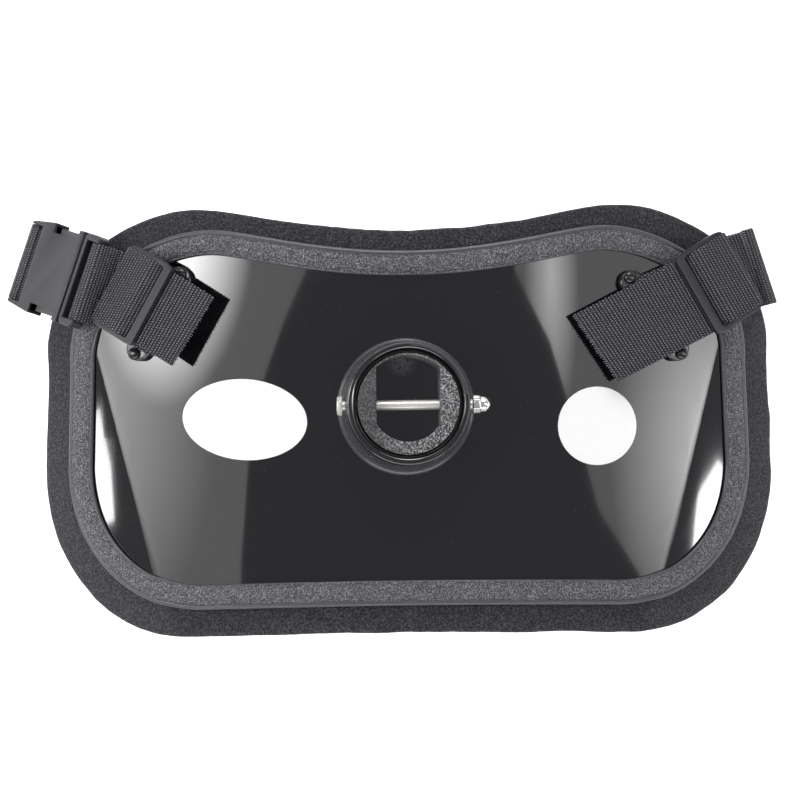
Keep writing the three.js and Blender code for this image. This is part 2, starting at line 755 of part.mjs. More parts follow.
function buckleFemale() {
  const half = buckleWidth / 2;
  const endHalf = webWidth / 2 + buckleWall + webGap;
  const shoulder = bodyStart + windowLength + 3 * buckleWall;
  const shape = new THREE.Shape();
  shape.moveTo(bodyStart, -half);
  shape.lineTo(shoulder, -half);
  shape.lineTo(bodyEnd - barRadius, -endHalf);
  shape.quadraticCurveTo(bodyEnd, -endHalf, bodyEnd, -endHalf + barRadius);
  shape.lineTo(bodyEnd, endHalf - barRadius);
  shape.quadraticCurveTo(bodyEnd, endHalf, bodyEnd - barRadius, endHalf);
  shape.lineTo(shoulder, half);
  shape.lineTo(bodyStart, half);
  shape.closePath();
  const slotHalf = webWidth / 2 + webGap;
  const slotEnd = bucklePitch - barRadius;
  shape.holes.push(rectangle(slotEnd - barSlot, -slotHalf, slotEnd, slotHalf));
  const body = mouldedPlate(shape, buckleThickness, mouldedEdge, 3);
  const hollowHalf = buckleThickness / 2 - buckleWall;
  const hollowSide = half - buckleWall;
  const hollowEnd = slotEnd - barSlot - buckleWall;
  const cavity = block([bodyStart - 1, -hollowSide, -hollowHalf], [hollowEnd, hollowSide, hollowHalf]);
  const windows = [-1, 1].map((side) => {
    const from = bodyStart + 2 * buckleWall;
    const reach = prongWidth * 0.8;
    return block([from, Math.min(side * (half - reach), side * (half + 1)), -buckleThickness],
      [from + windowLength, Math.max(side * (half - reach), side * (half + 1)), buckleThickness]);
  });
  const thin = buckleThickness / 2 + 1;
  const barTrim = [-1, 1].map((side) => block(
    [slotEnd - barSlot + 1, -slotHalf, Math.min(side * barRadius, side * thin)],
    [bodyEnd + 1, slotHalf, Math.max(side * barRadius, side * thin)]));
  return cut(body, cavity, ...windows, ...barTrim);
}

function buckleMale() {
  const half = buckleWidth / 2;
  const inside = half - buckleWall - gap;
  const slotHalf = webWidth / 2 + webGap;
  const base = roundedRectangle(new THREE.Shape(), -barRadius, -half, bodyStart - gap, half, 4);
  base.holes.push(rectangle(barRadius, -slotHalf, barRadius + barSlot, slotHalf));
  const body = mouldedPlate(base, maleThickness, mouldedEdge, 3);
  const tongueHalf = buckleThickness / 2 - buckleWall - gap;
  const root = bodyStart - maleNeck / 2;
  const tip = bodyStart + prongReach;
  const prongs = [-1, 1].map((side) => {
    const low = Math.min(side * inside, side * (inside - prongWidth));
    const high = Math.max(side * inside, side * (inside - prongWidth));
    return block([root, low, -tongueHalf], [tip, high, tongueHalf]);
  });
  const guide = block([root, -prongWidth / 2, -tongueHalf], [tip, prongWidth / 2, tongueHalf]);
  const thin = maleThickness / 2 + 1;
  const barTrim = [-1, 1].map((side) => block(
    [-barRadius - 1, -slotHalf, Math.min(side * barRadius, side * thin)],
    [barRadius + 1, slotHalf, Math.max(side * barRadius, side * thin)]));
  return cut(join(body, ...prongs, guide), ...barTrim);
}

// Finishes
const finish = {
  foam: { color: 0x24272a, roughness: 0.95, metalness: 0 },
  rubber: { color: 0x2c2f32, roughness: 0.7, metalness: 0 },
  gloss: { color: 0x0c0d10, roughness: 0.08, metalness: 0 },
  moulded: { color: 0x2f3236, roughness: 0.45, metalness: 0 },
  web: { color: 0x1d2023, roughness: 0.9, metalness: 0 },
  steel: { color: 0xc9c6c0, roughness: 0.3, metalness: 1 },
  label: { color: 0xf4f4f2, roughness: 0.4, metalness: 0 },
};

const group = new THREE.Group();

function add(name, geometry, look, matrix) {
  const mesh = new THREE.Mesh(geometry, new THREE.MeshStandardMaterial(finish[look]));
  mesh.name = name;
  if (matrix) {
    mesh.applyMatrix4(matrix);
  }
  group.add(mesh);
}

const middle = new THREE.Vector2(0, (padShoulder - padBelow) / 2);
const bodyShares = [0.35, 0.68, 1];
const padOutline = beltOutline(0, 0, 0);
const padShares = [0.33, 0.62, 0.85, 1];
const edgeOutline = beltOutline(edgeMarginSide, edgeMarginTop, edgeMarginFoot);
const plateRim = edgeOutline.map((_, i) => insetPoint(edgeOutline, i, edgeWall + gap));
const plateField = edgeOutline.map((_, i) => insetPoint(edgeOutline, i, edgeWidth + gap));
const slotFront = plateFront + grip;

add('foam_pad', layerSheet(innerLoops(padOutline, middle, padShares), middle, -padThickness, 0), 'foam');
add('face_plate', layerSheet(
  [...innerLoops(plateField, middle, bodyShares), plateRim], middle, plateBack, plateFront), 'gloss');
add('edge_trim', layerRing(edgeOutline, [
  { inset: edgeSoften, height: foamGap },
  { inset: 0, height: foamGap + edgeSoften },
  ...edgeFace.map(({ inset, rise }) => ({ inset: inset * edgeWidth, height: slotFront + rise * edgeFront })),
  { inset: edgeWidth, height: slotFront },
  { inset: edgeWall, height: slotFront },
  { inset: edgeWall, height: foamGap + edgeBack },
  { inset: edgeBackWidth, height: foamGap + edgeBack },
  { inset: edgeBackWidth, height: foamGap },
]), 'rubber');

add('rod_cup', rodCup(), 'gloss');
add('cup_insert', cupInsert(), 'moulded');
add('gimbal_pin', gimbalPin(), 'steel');
add('acorn_nut', acornNut(), 'steel');

for (const [name, strap] of [['left', left], ['right', right]]) {
  const loop = loopFrame(strap);
  add(`strap_loop_${name}`, footmanLoop(), 'moulded', loop);
  add(`loop_screw_${name}_upper`, domeScrew(strap.line.sign), 'gloss', loop);
  add(`loop_screw_${name}_lower`, domeScrew(-strap.line.sign), 'gloss', loop);
  add(`slider_${name}`, strapSlider(), 'moulded', sliderFrame(strap));
}

add('buckle_female', buckleFemale(), 'moulded', buckleFrame);
add('buckle_male', buckleMale(), 'moulded', buckleFrame);
add('strap_left', webbing(leftRoute()), 'web');
add('strap_main', webbing(mainRoute()), 'web');

const labelBack = plateFront + gap;
const labelFront = labelBack + labelThickness;
const labelShares = [0.5, 1];
const ovalMiddle = new THREE.Vector2(ovalShare.x * padHalfWidth, ovalShare.y * padBelow);
const roundMiddle = new THREE.Vector2(roundShare.x * padHalfWidth, roundShare.y * padBelow);
for (const [name, at, length, width, turn, count] of [
  ['label_oval', ovalMiddle, ovalLength, ovalWidth, ovalTurn, 28],
  ['label_round', roundMiddle, roundDiameter, roundDiameter, 0, 24]]) {
  const outline = ellipseOutline(at.x, at.y, length, width, turn, count);
  add(name, layerSheet(innerLoops(outline, at, labelShares), at, labelBack, labelFront), 'label');
}

// The belt stands on the ground with the middle of its plan on the axis
group.updateMatrixWorld(true);
const extent = new THREE.Box3().setFromObject(group, true);
const centre = extent.getCenter(new THREE.Vector3());
group.position.set(-centre.x, -centre.y, -extent.min.z);

export default group;
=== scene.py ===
import math
import random

import bmesh
import bpy
from mathutils import Matrix, Vector, noise


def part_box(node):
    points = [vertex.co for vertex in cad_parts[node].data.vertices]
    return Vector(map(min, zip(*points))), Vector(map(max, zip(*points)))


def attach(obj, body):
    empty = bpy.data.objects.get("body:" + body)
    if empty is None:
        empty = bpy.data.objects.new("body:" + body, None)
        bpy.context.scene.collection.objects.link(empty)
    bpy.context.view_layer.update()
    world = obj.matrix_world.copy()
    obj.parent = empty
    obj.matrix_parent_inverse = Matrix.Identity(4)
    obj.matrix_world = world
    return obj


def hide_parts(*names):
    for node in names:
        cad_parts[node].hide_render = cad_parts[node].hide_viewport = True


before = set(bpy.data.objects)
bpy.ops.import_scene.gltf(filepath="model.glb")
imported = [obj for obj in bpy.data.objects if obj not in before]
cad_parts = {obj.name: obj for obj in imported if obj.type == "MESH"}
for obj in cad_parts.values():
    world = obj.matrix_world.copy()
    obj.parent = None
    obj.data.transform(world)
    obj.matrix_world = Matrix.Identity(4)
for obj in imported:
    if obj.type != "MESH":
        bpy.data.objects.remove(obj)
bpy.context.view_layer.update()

# Sizes in millimetres, as the belt is built
MM = 0.001
ARCH_FLAT, ARCH_RISE, ARCH_POWER = 46, 46, 1.9
WING_ANGLE, WING_ROUND = 13, 2.5
PAD_HALF_WIDTH, PAD_SHOULDER, PAD_DIP, PAD_BELOW, PAD_THICKNESS = 240, 127.4, 15.1, 149, 12
CREASE_TOP = Vector((0.827 * PAD_HALF_WIDTH, 0.28 * PAD_SHOULDER))
CREASE_FOOT = Vector((0.66 * PAD_HALF_WIDTH, -0.762 * PAD_BELOW))
EDGE_MARGIN = {"side": 22.3, "top": 14.2, "foot": 19}
EDGE_WIDTH, EDGE_WALL, EDGE_FOOT_WIDTH = 16, 2.3, 9
FOAM_GAP, EDGE_BACK, EDGE_FRONT, GRIP = 0.8, 1.2, 3.3, 0.6
PLATE_THICKNESS = 3.2
PLATE_FRONT = FOAM_GAP + EDGE_BACK + GRIP + PLATE_THICKNESS
EDGE_SLOT = PLATE_FRONT + GRIP
GAP = 0.3
CUP_RADIUS, CUP_HEIGHT, CUP_CENTRE_X = 43.5, 35, -0.8
CUP_LEAN = Vector((2, 2.2))
CUP_SIDES, SCREW_SIDES, PIN_SIDES = 128, 40, 48
WEB_WIDTH, WEB_THICKNESS, RIB_PITCH, THREAD_PITCH = 50.8, 1.6, 2.2, 1.65
RIB_RISE, EDGE_PULL = 0.17, 0.15

BELT_MIDDLE = Vector((0, (PAD_SHOULDER - PAD_BELOW) / 2))
TINY = 0.01 * MM

# Plan of the right half, as shares of the half-width and of the height or depth from the cup
PLAN = {
    "foot_middle": (0, -0.977), "foot_rise": (0.34, -0.977), "foot_end": (0.6, -0.992),
    "foot_pull": (0.79, -1), "side_pull": (0.995, -0.77), "side_foot": (1, -0.3),
    "side_top": (0.987, 0.251), "shoulder_low": (1, 0.725), "shoulder_high": (0.752, 1),
    "shoulder": (0.57, 1), "dip_high": (0.47, 1), "dip_low": (0.279, 1),
}

pad_low, pad_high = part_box("foam_pad")
cup_low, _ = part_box("rod_cup")
crown = Vector(((pad_low.x + pad_high.x) / 2, cup_low.y + (CUP_RADIUS + CUP_LEAN.y / 2) * MM, pad_high.z))
cup_axis = crown + Vector((CUP_CENTRE_X, 0, 0)) * MM


# The surface of the belt

def drop(x, y):
    past = max(abs(x) - ARCH_FLAT, 0)
    arch = ARCH_RISE * (past / (PAD_HALF_WIDTH - ARCH_FLAT)) ** ARCH_POWER
    run = (CREASE_TOP - CREASE_FOOT).normalized()
    past_crease = (abs(x) - CREASE_TOP.x) * run.y - (y - CREASE_TOP.y) * run.x
    bend = max(past_crease, 0)
    if abs(past_crease) < WING_ROUND:
        bend = (past_crease + WING_ROUND) ** 2 / (4 * WING_ROUND)
    return arch + math.tan(math.radians(WING_ANGLE)) * bend


def normal_at(x, y, step=0.5):
    slope_x = (drop(x + step, y) - drop(x - step, y)) / (2 * step)
    slope_y = (drop(x, y + step) - drop(x, y - step)) / (2 * step)
    return Vector((slope_x, slope_y, 1)).normalized()


def on_belt(x, y, height):
    point = Vector((x, y, -drop(x, y))) + normal_at(x, y) * height
    return crown + point * MM


# Outlines in plan, in millimetres

def bezier(a, b, c, d, steps=40):
    points = []
    for i in range(steps):
        t = i / steps
        u = 1 - t
        points.append(u ** 3 * a + 3 * u * u * t * b + 3 * u * t * t * c + t ** 3 * d)
    return points


def even_spacing(points, count):
    """The same open line in count even steps"""
    lengths = [0.0]
    for a, b in zip(points, points[1:]):
        lengths.append(lengths[-1] + (b - a).length)
    spaced, j = [], 0
    for i in range(count + 1):
        at = lengths[-1] * i / count
        while j < len(points) - 2 and lengths[j + 1] < at:
            j += 1
        share = (at - lengths[j]) / max(lengths[j + 1] - lengths[j], 1e-9)
        spaced.append(points[j].lerp(points[j + 1], min(max(share, 0), 1)))
    return spaced


def belt_outline(side=0, top=0, foot=0, half_count=150):
    half, above, below = PAD_HALF_WIDTH - side, PAD_SHOULDER - top, PAD_BELOW - foot

    def at(name):
        x, y = PLAN[name]
        return Vector((x * half, y * (above if y > 0 else below)))

    top_middle = Vector((0, above - PAD_DIP))
    dip_low = Vector((PLAN["dip_low"][0] * half, above - PAD_DIP))
    foot_rise = at("foot_rise")
    rise_low = at("foot_middle").lerp(foot_rise, 2 / 3)
    rise_high = at("foot_end").lerp(foot_rise, 2 / 3)
    line = bezier(at("foot_middle"), rise_low, rise_high, at("foot_end"))
    line += bezier(at("foot_end"), at("foot_pull"), at("side_pull"), at("side_foot"))
    line += [at("side_foot")]
    line += bezier(at("side_top"), at("shoulder_low"), at("shoulder_high"), at("shoulder"))
    line += bezier(at("shoulder"), at("dip_high"), dip_low, top_middle)
    right = even_spacing(line + [top_middle], half_count)
    left = [Vector((-p.x, p.y)) for p in reversed(right[1:-1])]
    return right + left


def inset(outline, distance):
    count = len(outline)
    points = []
    for i, p in enumerate(outline):
        run = (outline[(i + 1) % count] - outline[i - 1]).normalized()
        points.append(Vector((p.x - run.y * distance, p.y + run.x * distance)))
    return points


def ellipse(centre, length, width, turn, count):
    points = []
    for i in range(count):
        angle = 2 * math.pi * i / count
        spot = Vector((math.cos(angle) * length / 2, math.sin(angle) * width / 2))
        spot.rotate(Matrix.Rotation(math.radians(turn), 2))
        points.append(centre + spot)
    return points


# Modelling by hand

def rest_all():
    if bpy.context.object and bpy.context.object.mode != "OBJECT":
        bpy.ops.object.mode_set(mode="OBJECT")
    bpy.ops.object.select_all(action="DESELECT")


def edit(piece):
    rest_all()
    bpy.context.view_layer.objects.active = piece
    piece.select_set(True)
    bpy.ops.object.mode_set(mode="EDIT")
    bpy.ops.mesh.select_all(action="SELECT")


def finish_edit():
    bpy.ops.object.mode_set(mode="OBJECT")


def begin_loop(name, loop):
    """A ring of edges through the loop's points, in edit mode and selected"""
    rest_all()
    bpy.ops.mesh.primitive_circle_add(vertices=len(loop), radius=0.01, fill_type="NOTHING")
    piece = bpy.context.object
    piece.name = name
    piece.location = (0, 0, 0)
    for vertex, spot in zip(piece.data.vertices, loop):
        vertex.co = spot
    edit(piece)
    return piece


def extrude_to(piece, here, there):
    """Extrudes the selected loop that lies at the points here, and moves it to the points there"""
    bpy.ops.mesh.extrude_region_move()
    mesh = bmesh.from_edit_mesh(piece.data)
    spots = {tuple(a): b for a, b in zip(here, there)}
    for vertex in mesh.verts:
        if vertex.select:
            vertex.co = spots[tuple(vertex.co)]
    bmesh.update_edit_mesh(piece.data)


def face_outward(piece):
    edit(piece)
    bpy.ops.mesh.remove_doubles(threshold=1e-6)
    bpy.ops.mesh.select_all(action="SELECT")
    bpy.ops.mesh.normals_make_consistent(inside=False)
    finish_edit()


def skin(name, loops, closed=False):
    """A body through loops of points: end caps filled, or the last loop joined to the first"""
    loops = [[Vector(p) for p in loop] for loop in loops]
    piece = begin_loop(name, loops[0])
    for here, there in zip(loops, loops[1:]):
        extrude_to(piece, here, there)
    if closed:
        bpy.ops.mesh.select_all(action="DESELECT")
        mesh = bmesh.from_edit_mesh(piece.data)
        ends = {tuple(p) for p in loops[0]} | {tuple(p) for p in loops[-1]}
        for edge in mesh.edges:
            if edge.is_boundary and all(tuple(v.co) in ends for v in edge.verts):
                edge.select_set(True)
        bmesh.update_edit_mesh(piece.data)
        bpy.ops.mesh.bridge_edge_loops()
    else:
        bpy.ops.mesh.edge_face_add()
        bpy.ops.mesh.select_all(action="DESELECT")
        bpy.ops.mesh.select_non_manifold()
        bpy.ops.mesh.edge_face_add()
    finish_edit()
    face_outward(piece)
    return piece


def apply_modifier(piece, kind, **values):
    rest_all()
    bpy.context.view_layer.objects.active = piece
    piece.select_set(True)
    modifier = piece.modifiers.new(kind.title(), kind)
    for name, value in values.items():
        setattr(modifier, name, value)
    bpy.ops.object.modifier_apply(modifier=modifier.name)


def soften(piece, width, segments=2, angle=35):
    apply_modifier(piece, "BEVEL", width=width * MM, segments=segments, limit_method="ANGLE",
                   angle_limit=math.radians(angle), use_clamp_overlap=True)


def round_rim(piece, width, segments):
    """Rounds the edges between the two faces of a thick sheet and its side wall"""
    edit(piece)
    bpy.ops.mesh.select_all(action="DESELECT")
    mesh = bmesh.from_edit_mesh(piece.data)
    smallest, steepest = 5 * MM ** 2, 0.7
    walls = {f for f in mesh.faces if abs(f.normal.z) < steepest and f.calc_area() > smallest}
    for edge in mesh.edges:
        if len([face for face in edge.link_faces if face in walls]) == 1:
            edge.select_set(True)
    bmesh.update_edit_mesh(piece.data)
    bpy.ops.mesh.bevel(offset=width * MM, segments=segments, affect="EDGES", clamp_overlap=True)
    finish_edit()


def shade(piece, angle=35):
    rest_all()
    bpy.context.view_layer.objects.active = piece
    piece.select_set(True)
    bpy.ops.object.shade_smooth_by_angle(angle=math.radians(angle))


def select_inner_faces(piece):
    """Selects all of a sheet but its outer band, which stays uncut so that its rim can be rounded"""
    bpy.ops.mesh.select_all(action="DESELECT")
    mesh = bmesh.from_edit_mesh(piece.data)
    for face in mesh.faces:
        if not any(corner.is_boundary for corner in face.verts):
            face.select_set(True)
    bmesh.update_edit_mesh(piece.data)


def lay_sheet(name, outline, middle, shares, cuts=()):
    """A flat sheet in plan, in rings from its outline to its middle, with extra edges along the cuts"""
    piece = begin_loop(name, [p.to_3d() for p in outline])
    before = 1.0
    for share in shares:
        bpy.ops.mesh.extrude_region_move()
        scale = share / before
        bpy.ops.transform.resize(value=(scale, scale, 1), center_override=middle.to_3d())
        before = share
    bpy.ops.mesh.merge(type="CENTER")
    for point, across in cuts:
        select_inner_faces(piece)
        bpy.ops.mesh.bisect(plane_co=point.to_3d(), plane_no=across.to_3d())
    bpy.ops.mesh.select_all(action="SELECT")
    bpy.ops.mesh.dissolve_degenerate(threshold=0.02)
    finish_edit()
    up = sum((face.normal.z * face.area for face in piece.data.polygons), 0.0)
    if up < 0:
        edit(piece)
        bpy.ops.mesh.flip_normals()
        finish_edit()
    return piece


def lift_onto_belt(piece, height):
    for vertex in piece.data.vertices:
        vertex.co = on_belt(vertex.co.x, vertex.co.y, height)
    piece.data.update()


def crease_cuts(reach):
    cuts = []
    run = (CREASE_TOP - CREASE_FOOT).normalized()
    for sign in (1, -1):
        across = Vector((sign * run.y, -run.x))
        for step in (-1, -0.5, 0, 0.5, 1):
            cuts.append((Vector((sign * CREASE_TOP.x, CREASE_TOP.y)) + across * step * reach, across))
        cuts.append((Vector((sign * ARCH_FLAT, 0)), Vector((1, 0))))
    return cuts


def refined(node, name, width, segments=2, angle=30):
    """A copy of a CAD piece with its flat faces joined and its edges rounded"""
    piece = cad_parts[node].copy()
    piece.data = piece.data.copy()
    piece.parent = None
    for key in [k for k in piece.keys() if k.startswith("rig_")]:
        del piece[key]
    bpy.context.scene.collection.objects.link(piece)
    piece.name = name
    edit(piece)
    bpy.ops.mesh.remove_doubles(threshold=1e-6)
    bpy.ops.mesh.select_all(action="SELECT")
    bpy.ops.mesh.dissolve_limited(angle_limit=math.radians(1))
    finish_edit()
    soften(piece, width, segments, angle)
    edit(piece)
    bpy.ops.mesh.dissolve_degenerate(threshold=2e-6)
    finish_edit()
    shade(piece, 40)
    return piece


def join_pieces(name, *pieces):
    rest_all()
    for piece in pieces:
        piece.select_set(True)
    bpy.context.view_layer.objects.active = pieces[0]
    bpy.ops.object.join()
    pieces[0].name = name
    return pieces[0]


def settle(piece, slot, *nodes, looks=()):
    """Gives a piece its finish and the body it rides on, and hides the CAD pieces it stands for"""
    if looks:
        piece.data.materials.clear()
        for look in looks:
            piece.data.materials.append(look)
    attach(piece, "root")
    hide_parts(*nodes)
    return piece


# Finishes

def new_group(name, inputs, outputs):
    group = bpy.data.node_groups.new(name, "ShaderNodeTree")
    for label, value in inputs.items():
        socket = group.interface.new_socket(label, in_out="INPUT", socket_type="NodeSocketFloat")
        socket.default_value = value
    for label, kind in outputs.items():
        group.interface.new_socket(label, in_out="OUTPUT", socket_type=kind)
    return group


def wire(tree, kind, settings=None, **inputs):
    """Adds a node, sets its fields and joins or sets its inputs, named with _ for spaces"""
    node = tree.nodes.new(kind)
    for field, value in (settings or {}).items():
        setattr(node, field, value)
    for label, value in inputs.items():
        number = label[1:]
        socket = node.inputs[int(number) if number.isdigit() else label.replace("_", " ")]
        if isinstance(value, bpy.types.NodeSocket):
            tree.links.new(value, socket)
        else:
            socket.default_value = value
    return node


def maths(tree, operation, *values):
    inputs = {f"_{i}": value for i, value in enumerate(values)}
    return wire(tree, "ShaderNodeMath", {"operation": operation}, **inputs).outputs[0]


def ranged(tree, value, from_low, from_high, to_low=0.0, to_high=1.0):
    return wire(tree, "ShaderNodeMapRange", _0=value, _1=from_low, _2=from_high, _3=to_low,
                _4=to_high).outputs[0]


def make_grain_group():
    """Fine grain: a mask of bright specks and a height, at a scale in grains per metre"""
    group = new_group("grain", {"Scale": 900, "Contrast": 0.5},
                      {"Mask": "NodeSocketFloat", "Height": "NodeSocketFloat"})
    source = group.nodes.new("NodeGroupInput")
    place = group.nodes.new("ShaderNodeTexCoord")
    fine = wire(group, "ShaderNodeTexNoise", Vector=place.outputs["Object"], Scale=source.outputs["Scale"],
                Detail=4.0, Roughness=0.65)
    broad = maths(group, "MULTIPLY", source.outputs["Scale"], 0.12)
    coarse = wire(group, "ShaderNodeTexNoise", Vector=place.outputs["Object"], Scale=broad, Detail=2.0)
    low = maths(group, "SUBTRACT", 0.56, source.outputs["Contrast"])
    spread = ranged(group, fine.outputs["Fac"], low, 0.72)
    cloudy = ranged(group, coarse.outputs["Fac"], 0.3, 0.7, 0.72, 1.0)
    sink = group.nodes.new("NodeGroupOutput")
    group.links.new(maths(group, "MULTIPLY", spread, cloudy), sink.inputs["Mask"])
    group.links.new(fine.outputs["Fac"], sink.inputs["Height"])
    return group


grain_group = make_grain_group()


def material(name):
    look = bpy.data.materials.new(name)
    look.use_nodes = True
    tree = look.node_tree
    shader = tree.nodes["Principled BSDF"]
    return look, tree, shader


def place_grain(tree, scale, contrast):
    node = tree.nodes.new("ShaderNodeGroup")
    node.node_tree = grain_group
    node.inputs["Scale"].default_value = scale
    node.inputs["Contrast"].default_value = contrast
    return node


def blend_colours(tree, mask, dark, light):
    mix = tree.nodes.new("ShaderNodeMix")
    mix.data_type = "RGBA"
    tree.links.new(mask, mix.inputs[0])
    mix.inputs[6].default_value = (*dark, 1)
    mix.inputs[7].default_value = (*light, 1)
    return mix.outputs[2]


def bump(tree, shader, height, strength, distance):
    node = wire(tree, "ShaderNodeBump", Strength=strength, Distance=distance * MM, Height=height)
    tree.links.new(node.outputs["Normal"], shader.inputs["Normal"])


def grain_surface(tree, shader, grain, rough, bump_strength, bump_depth):
    roughness = ranged(tree, grain.outputs["Height"], 0.3, 0.7, *rough)
    tree.links.new(roughness, shader.inputs["Roughness"])
    bump(tree, shader, grain.outputs["Height"], bump_strength, bump_depth)


def grained(name, scale, contrast, dark, light, rough, bump_strength, bump_depth):
    look, tree, shader = material(name)
    grain = place_grain(tree, scale, contrast)
    colour = blend_colours(tree, grain.outputs["Mask"], dark, light)
    tree.links.new(colour, shader.inputs["Base Color"])
    grain_surface(tree, shader, grain, rough, bump_strength, bump_depth)
    return look


def coat(shader, weight, roughness):
    shader.inputs["Coat Weight"].default_value = weight
    shader.inputs["Coat Roughness"].default_value = roughness


def glow_at(tree, place, centre, radii, strength):
    """A soft round glow or smear, fading out at its radii"""
    spot = wire(tree, "ShaderNodeMapping", {"vector_type": "TEXTURE"}, Vector=place)
    spot.inputs["Location"].default_value = centre
    spot.inputs["Scale"].default_value = radii
    fade = wire(tree, "ShaderNodeTexGradient", {"gradient_type": "SPHERICAL"}, Vector=spot.outputs["Vector"])
    return maths(tree, "MULTIPLY", fade.outputs["Fac"], strength)


def make_foam():
    look = grained("brushed_foam", 780, 0.12, (0.005, 0.0055, 0.007), (0.08, 0.082, 0.097), (0.95, 0.8),
                   1.0, 0.9)
    shader = look.node_tree.nodes["Principled BSDF"]
    shader.inputs["Specular IOR Level"].default_value = 0.25
    shader.inputs["Sheen Weight"].default_value = 0.15
    shader.inputs["Sheen Roughness"].default_value = 0.6
    return look


def make_gloss():
    look, tree, shader = material("polished_black")
    place = tree.nodes.new("ShaderNodeTexCoord").outputs["Object"]
    haze = wire(tree, "ShaderNodeTexNoise", Vector=place, Scale=14.0, Detail=3.0)
    tree.links.new(ranged(tree, haze.outputs["Fac"], 0.3, 0.7, 0.045, 0.075), shader.inputs["Roughness"])
    dust = wire(tree, "ShaderNodeTexVoronoi", {"feature": "F1"}, Vector=place, Scale=160.0)
    speck = ranged(tree, dust.outputs["Distance"], 0.05, 0.035)
    colour = blend_colours(tree, speck, (0.0035, 0.0035, 0.0045), (0.05, 0.05, 0.05))
    tree.links.new(colour, shader.inputs["Base Color"])
    coat(shader, 0.5, 0.03)
    return look


def make_cup_gloss():
    """Moulded gloss with a dull smear on the floor of the cup, at its far side"""
    look, tree, shader = material("cup_black")
    grain_surface(tree, shader, place_grain(tree, 300, 0.3), (0.1, 0.06), 0.05, 0.05)
    place = tree.nodes.new("ShaderNodeTexCoord").outputs["Object"]
    spot = crown + Vector((-4, 26, 10)) * MM
    smear = glow_at(tree, place, spot, (10 * MM, 9 * MM, 14 * MM), 1.0)
    dull = maths(tree, "MULTIPLY", smear, place_grain(tree, 420, 0.2).outputs["Mask"])
    colour = blend_colours(tree, dull, (0.007, 0.007, 0.008), (0.3, 0.3, 0.31))
    tree.links.new(colour, shader.inputs["Base Color"])
    coat(shader, 0.5, 0.04)
    return look


def make_insert():
    """Rough cast face, smoother and darker on its left side"""
    look, tree, shader = material("coarse_insert")
    place = tree.nodes.new("ShaderNodeTexCoord")
    split = wire(tree, "ShaderNodeSeparateXYZ", Vector=place.outputs["Object"])
    side = ranged(tree, split.outputs["X"], crown.x - 22 * MM, crown.x + 8 * MM, 0.22, 0.95)
    grain = place_grain(tree, 1000, 0.1)
    tint = maths(tree, "MULTIPLY", grain.outputs["Mask"], side)
    colour = blend_colours(tree, tint, (0.004, 0.004, 0.005), (0.75, 0.75, 0.77))
    tree.links.new(colour, shader.inputs["Base Color"])
    shader.inputs["Roughness"].default_value = 0.28
    bump(tree, shader, maths(tree, "MULTIPLY", grain.outputs["Height"], side), 1.0, 1.4)
    return look


def make_steel():
    look, tree, shader = material("satin_steel")
    place = tree.nodes.new("ShaderNodeTexCoord")
    stretch = wire(tree, "ShaderNodeMapping", Vector=place.outputs["Object"])
    stretch.inputs["Scale"].default_value = (0.15, 1, 1)
    scratches = wire(tree, "ShaderNodeTexNoise", Vector=stretch.outputs["Vector"], Scale=500.0, Detail=3.0)
    tree.links.new(ranged(tree, scratches.outputs["Fac"], 0.3, 0.7, 0.3, 0.42), shader.inputs["Roughness"])
    colour = blend_colours(tree, scratches.outputs["Fac"], (0.52, 0.5, 0.47), (0.64, 0.62, 0.58))
    tree.links.new(colour, shader.inputs["Base Color"])
    shader.inputs["Metallic"].default_value = 0.45
    return look


def make_bright_steel():
    look = grained("bright_steel", 400, 0.3, (0.82, 0.81, 0.8), (0.95, 0.94, 0.93), (0.2, 0.12), 0.1, 0.03)
    look.node_tree.nodes["Principled BSDF"].inputs["Metallic"].default_value = 1.0
    return look


def make_webbing():
    """Raised loops in staggered rows across the strap, on the strap's own map in millimetres, with painted
    highlights on the loop tops and painted shade in the gaps between them
    """
    look, tree, shader = material("woven_webbing")
    place = wire(tree, "ShaderNodeUVMap", {"uv_map": "strap"})
    split = wire(tree, "ShaderNodeSeparateXYZ", Vector=place.outputs["UV"])
    along = maths(tree, "MULTIPLY", split.outputs["Y"], math.pi / RIB_PITCH)
    row = maths(tree, "FLOOR", maths(tree, "MULTIPLY", split.outputs["Y"], 1 / RIB_PITCH))
    stagger = maths(tree, "MULTIPLY", row, math.pi / 2)
    across = maths(tree, "MULTIPLY_ADD", split.outputs["X"], math.pi / THREAD_PITCH, stagger)
    warp = maths(tree, "ABSOLUTE", maths(tree, "SINE", across))
    weft = maths(tree, "ABSOLUTE", maths(tree, "SINE", along))
    height = maths(tree, "MULTIPLY", warp, weft)
    fuzz = place_grain(tree, 1500, 0.2).outputs["Height"]
    bump(tree, shader, maths(tree, "MULTIPLY_ADD", fuzz, 0.3, height), 1.0, 0.5)
    # Painted light: the loop tops are coloured light as a highlight and the gaps between them dark as shade,
    # with a random tone on top
    peaks_lit_gaps_shaded = ranged(tree, height, 0.3, 0.8)
    wear = ranged(tree, fuzz, 0.35, 0.65, 0.4, 1.0)
    colour = blend_colours(tree, maths(tree, "MULTIPLY", peaks_lit_gaps_shaded, wear), (0.001, 0.0012, 0.002),
                           (0.15, 0.154, 0.176))
    tree.links.new(colour, shader.inputs["Base Color"])
    shader.inputs["Roughness"].default_value = 0.55
    shader.inputs["Specular IOR Level"].default_value = 0.3
    return look


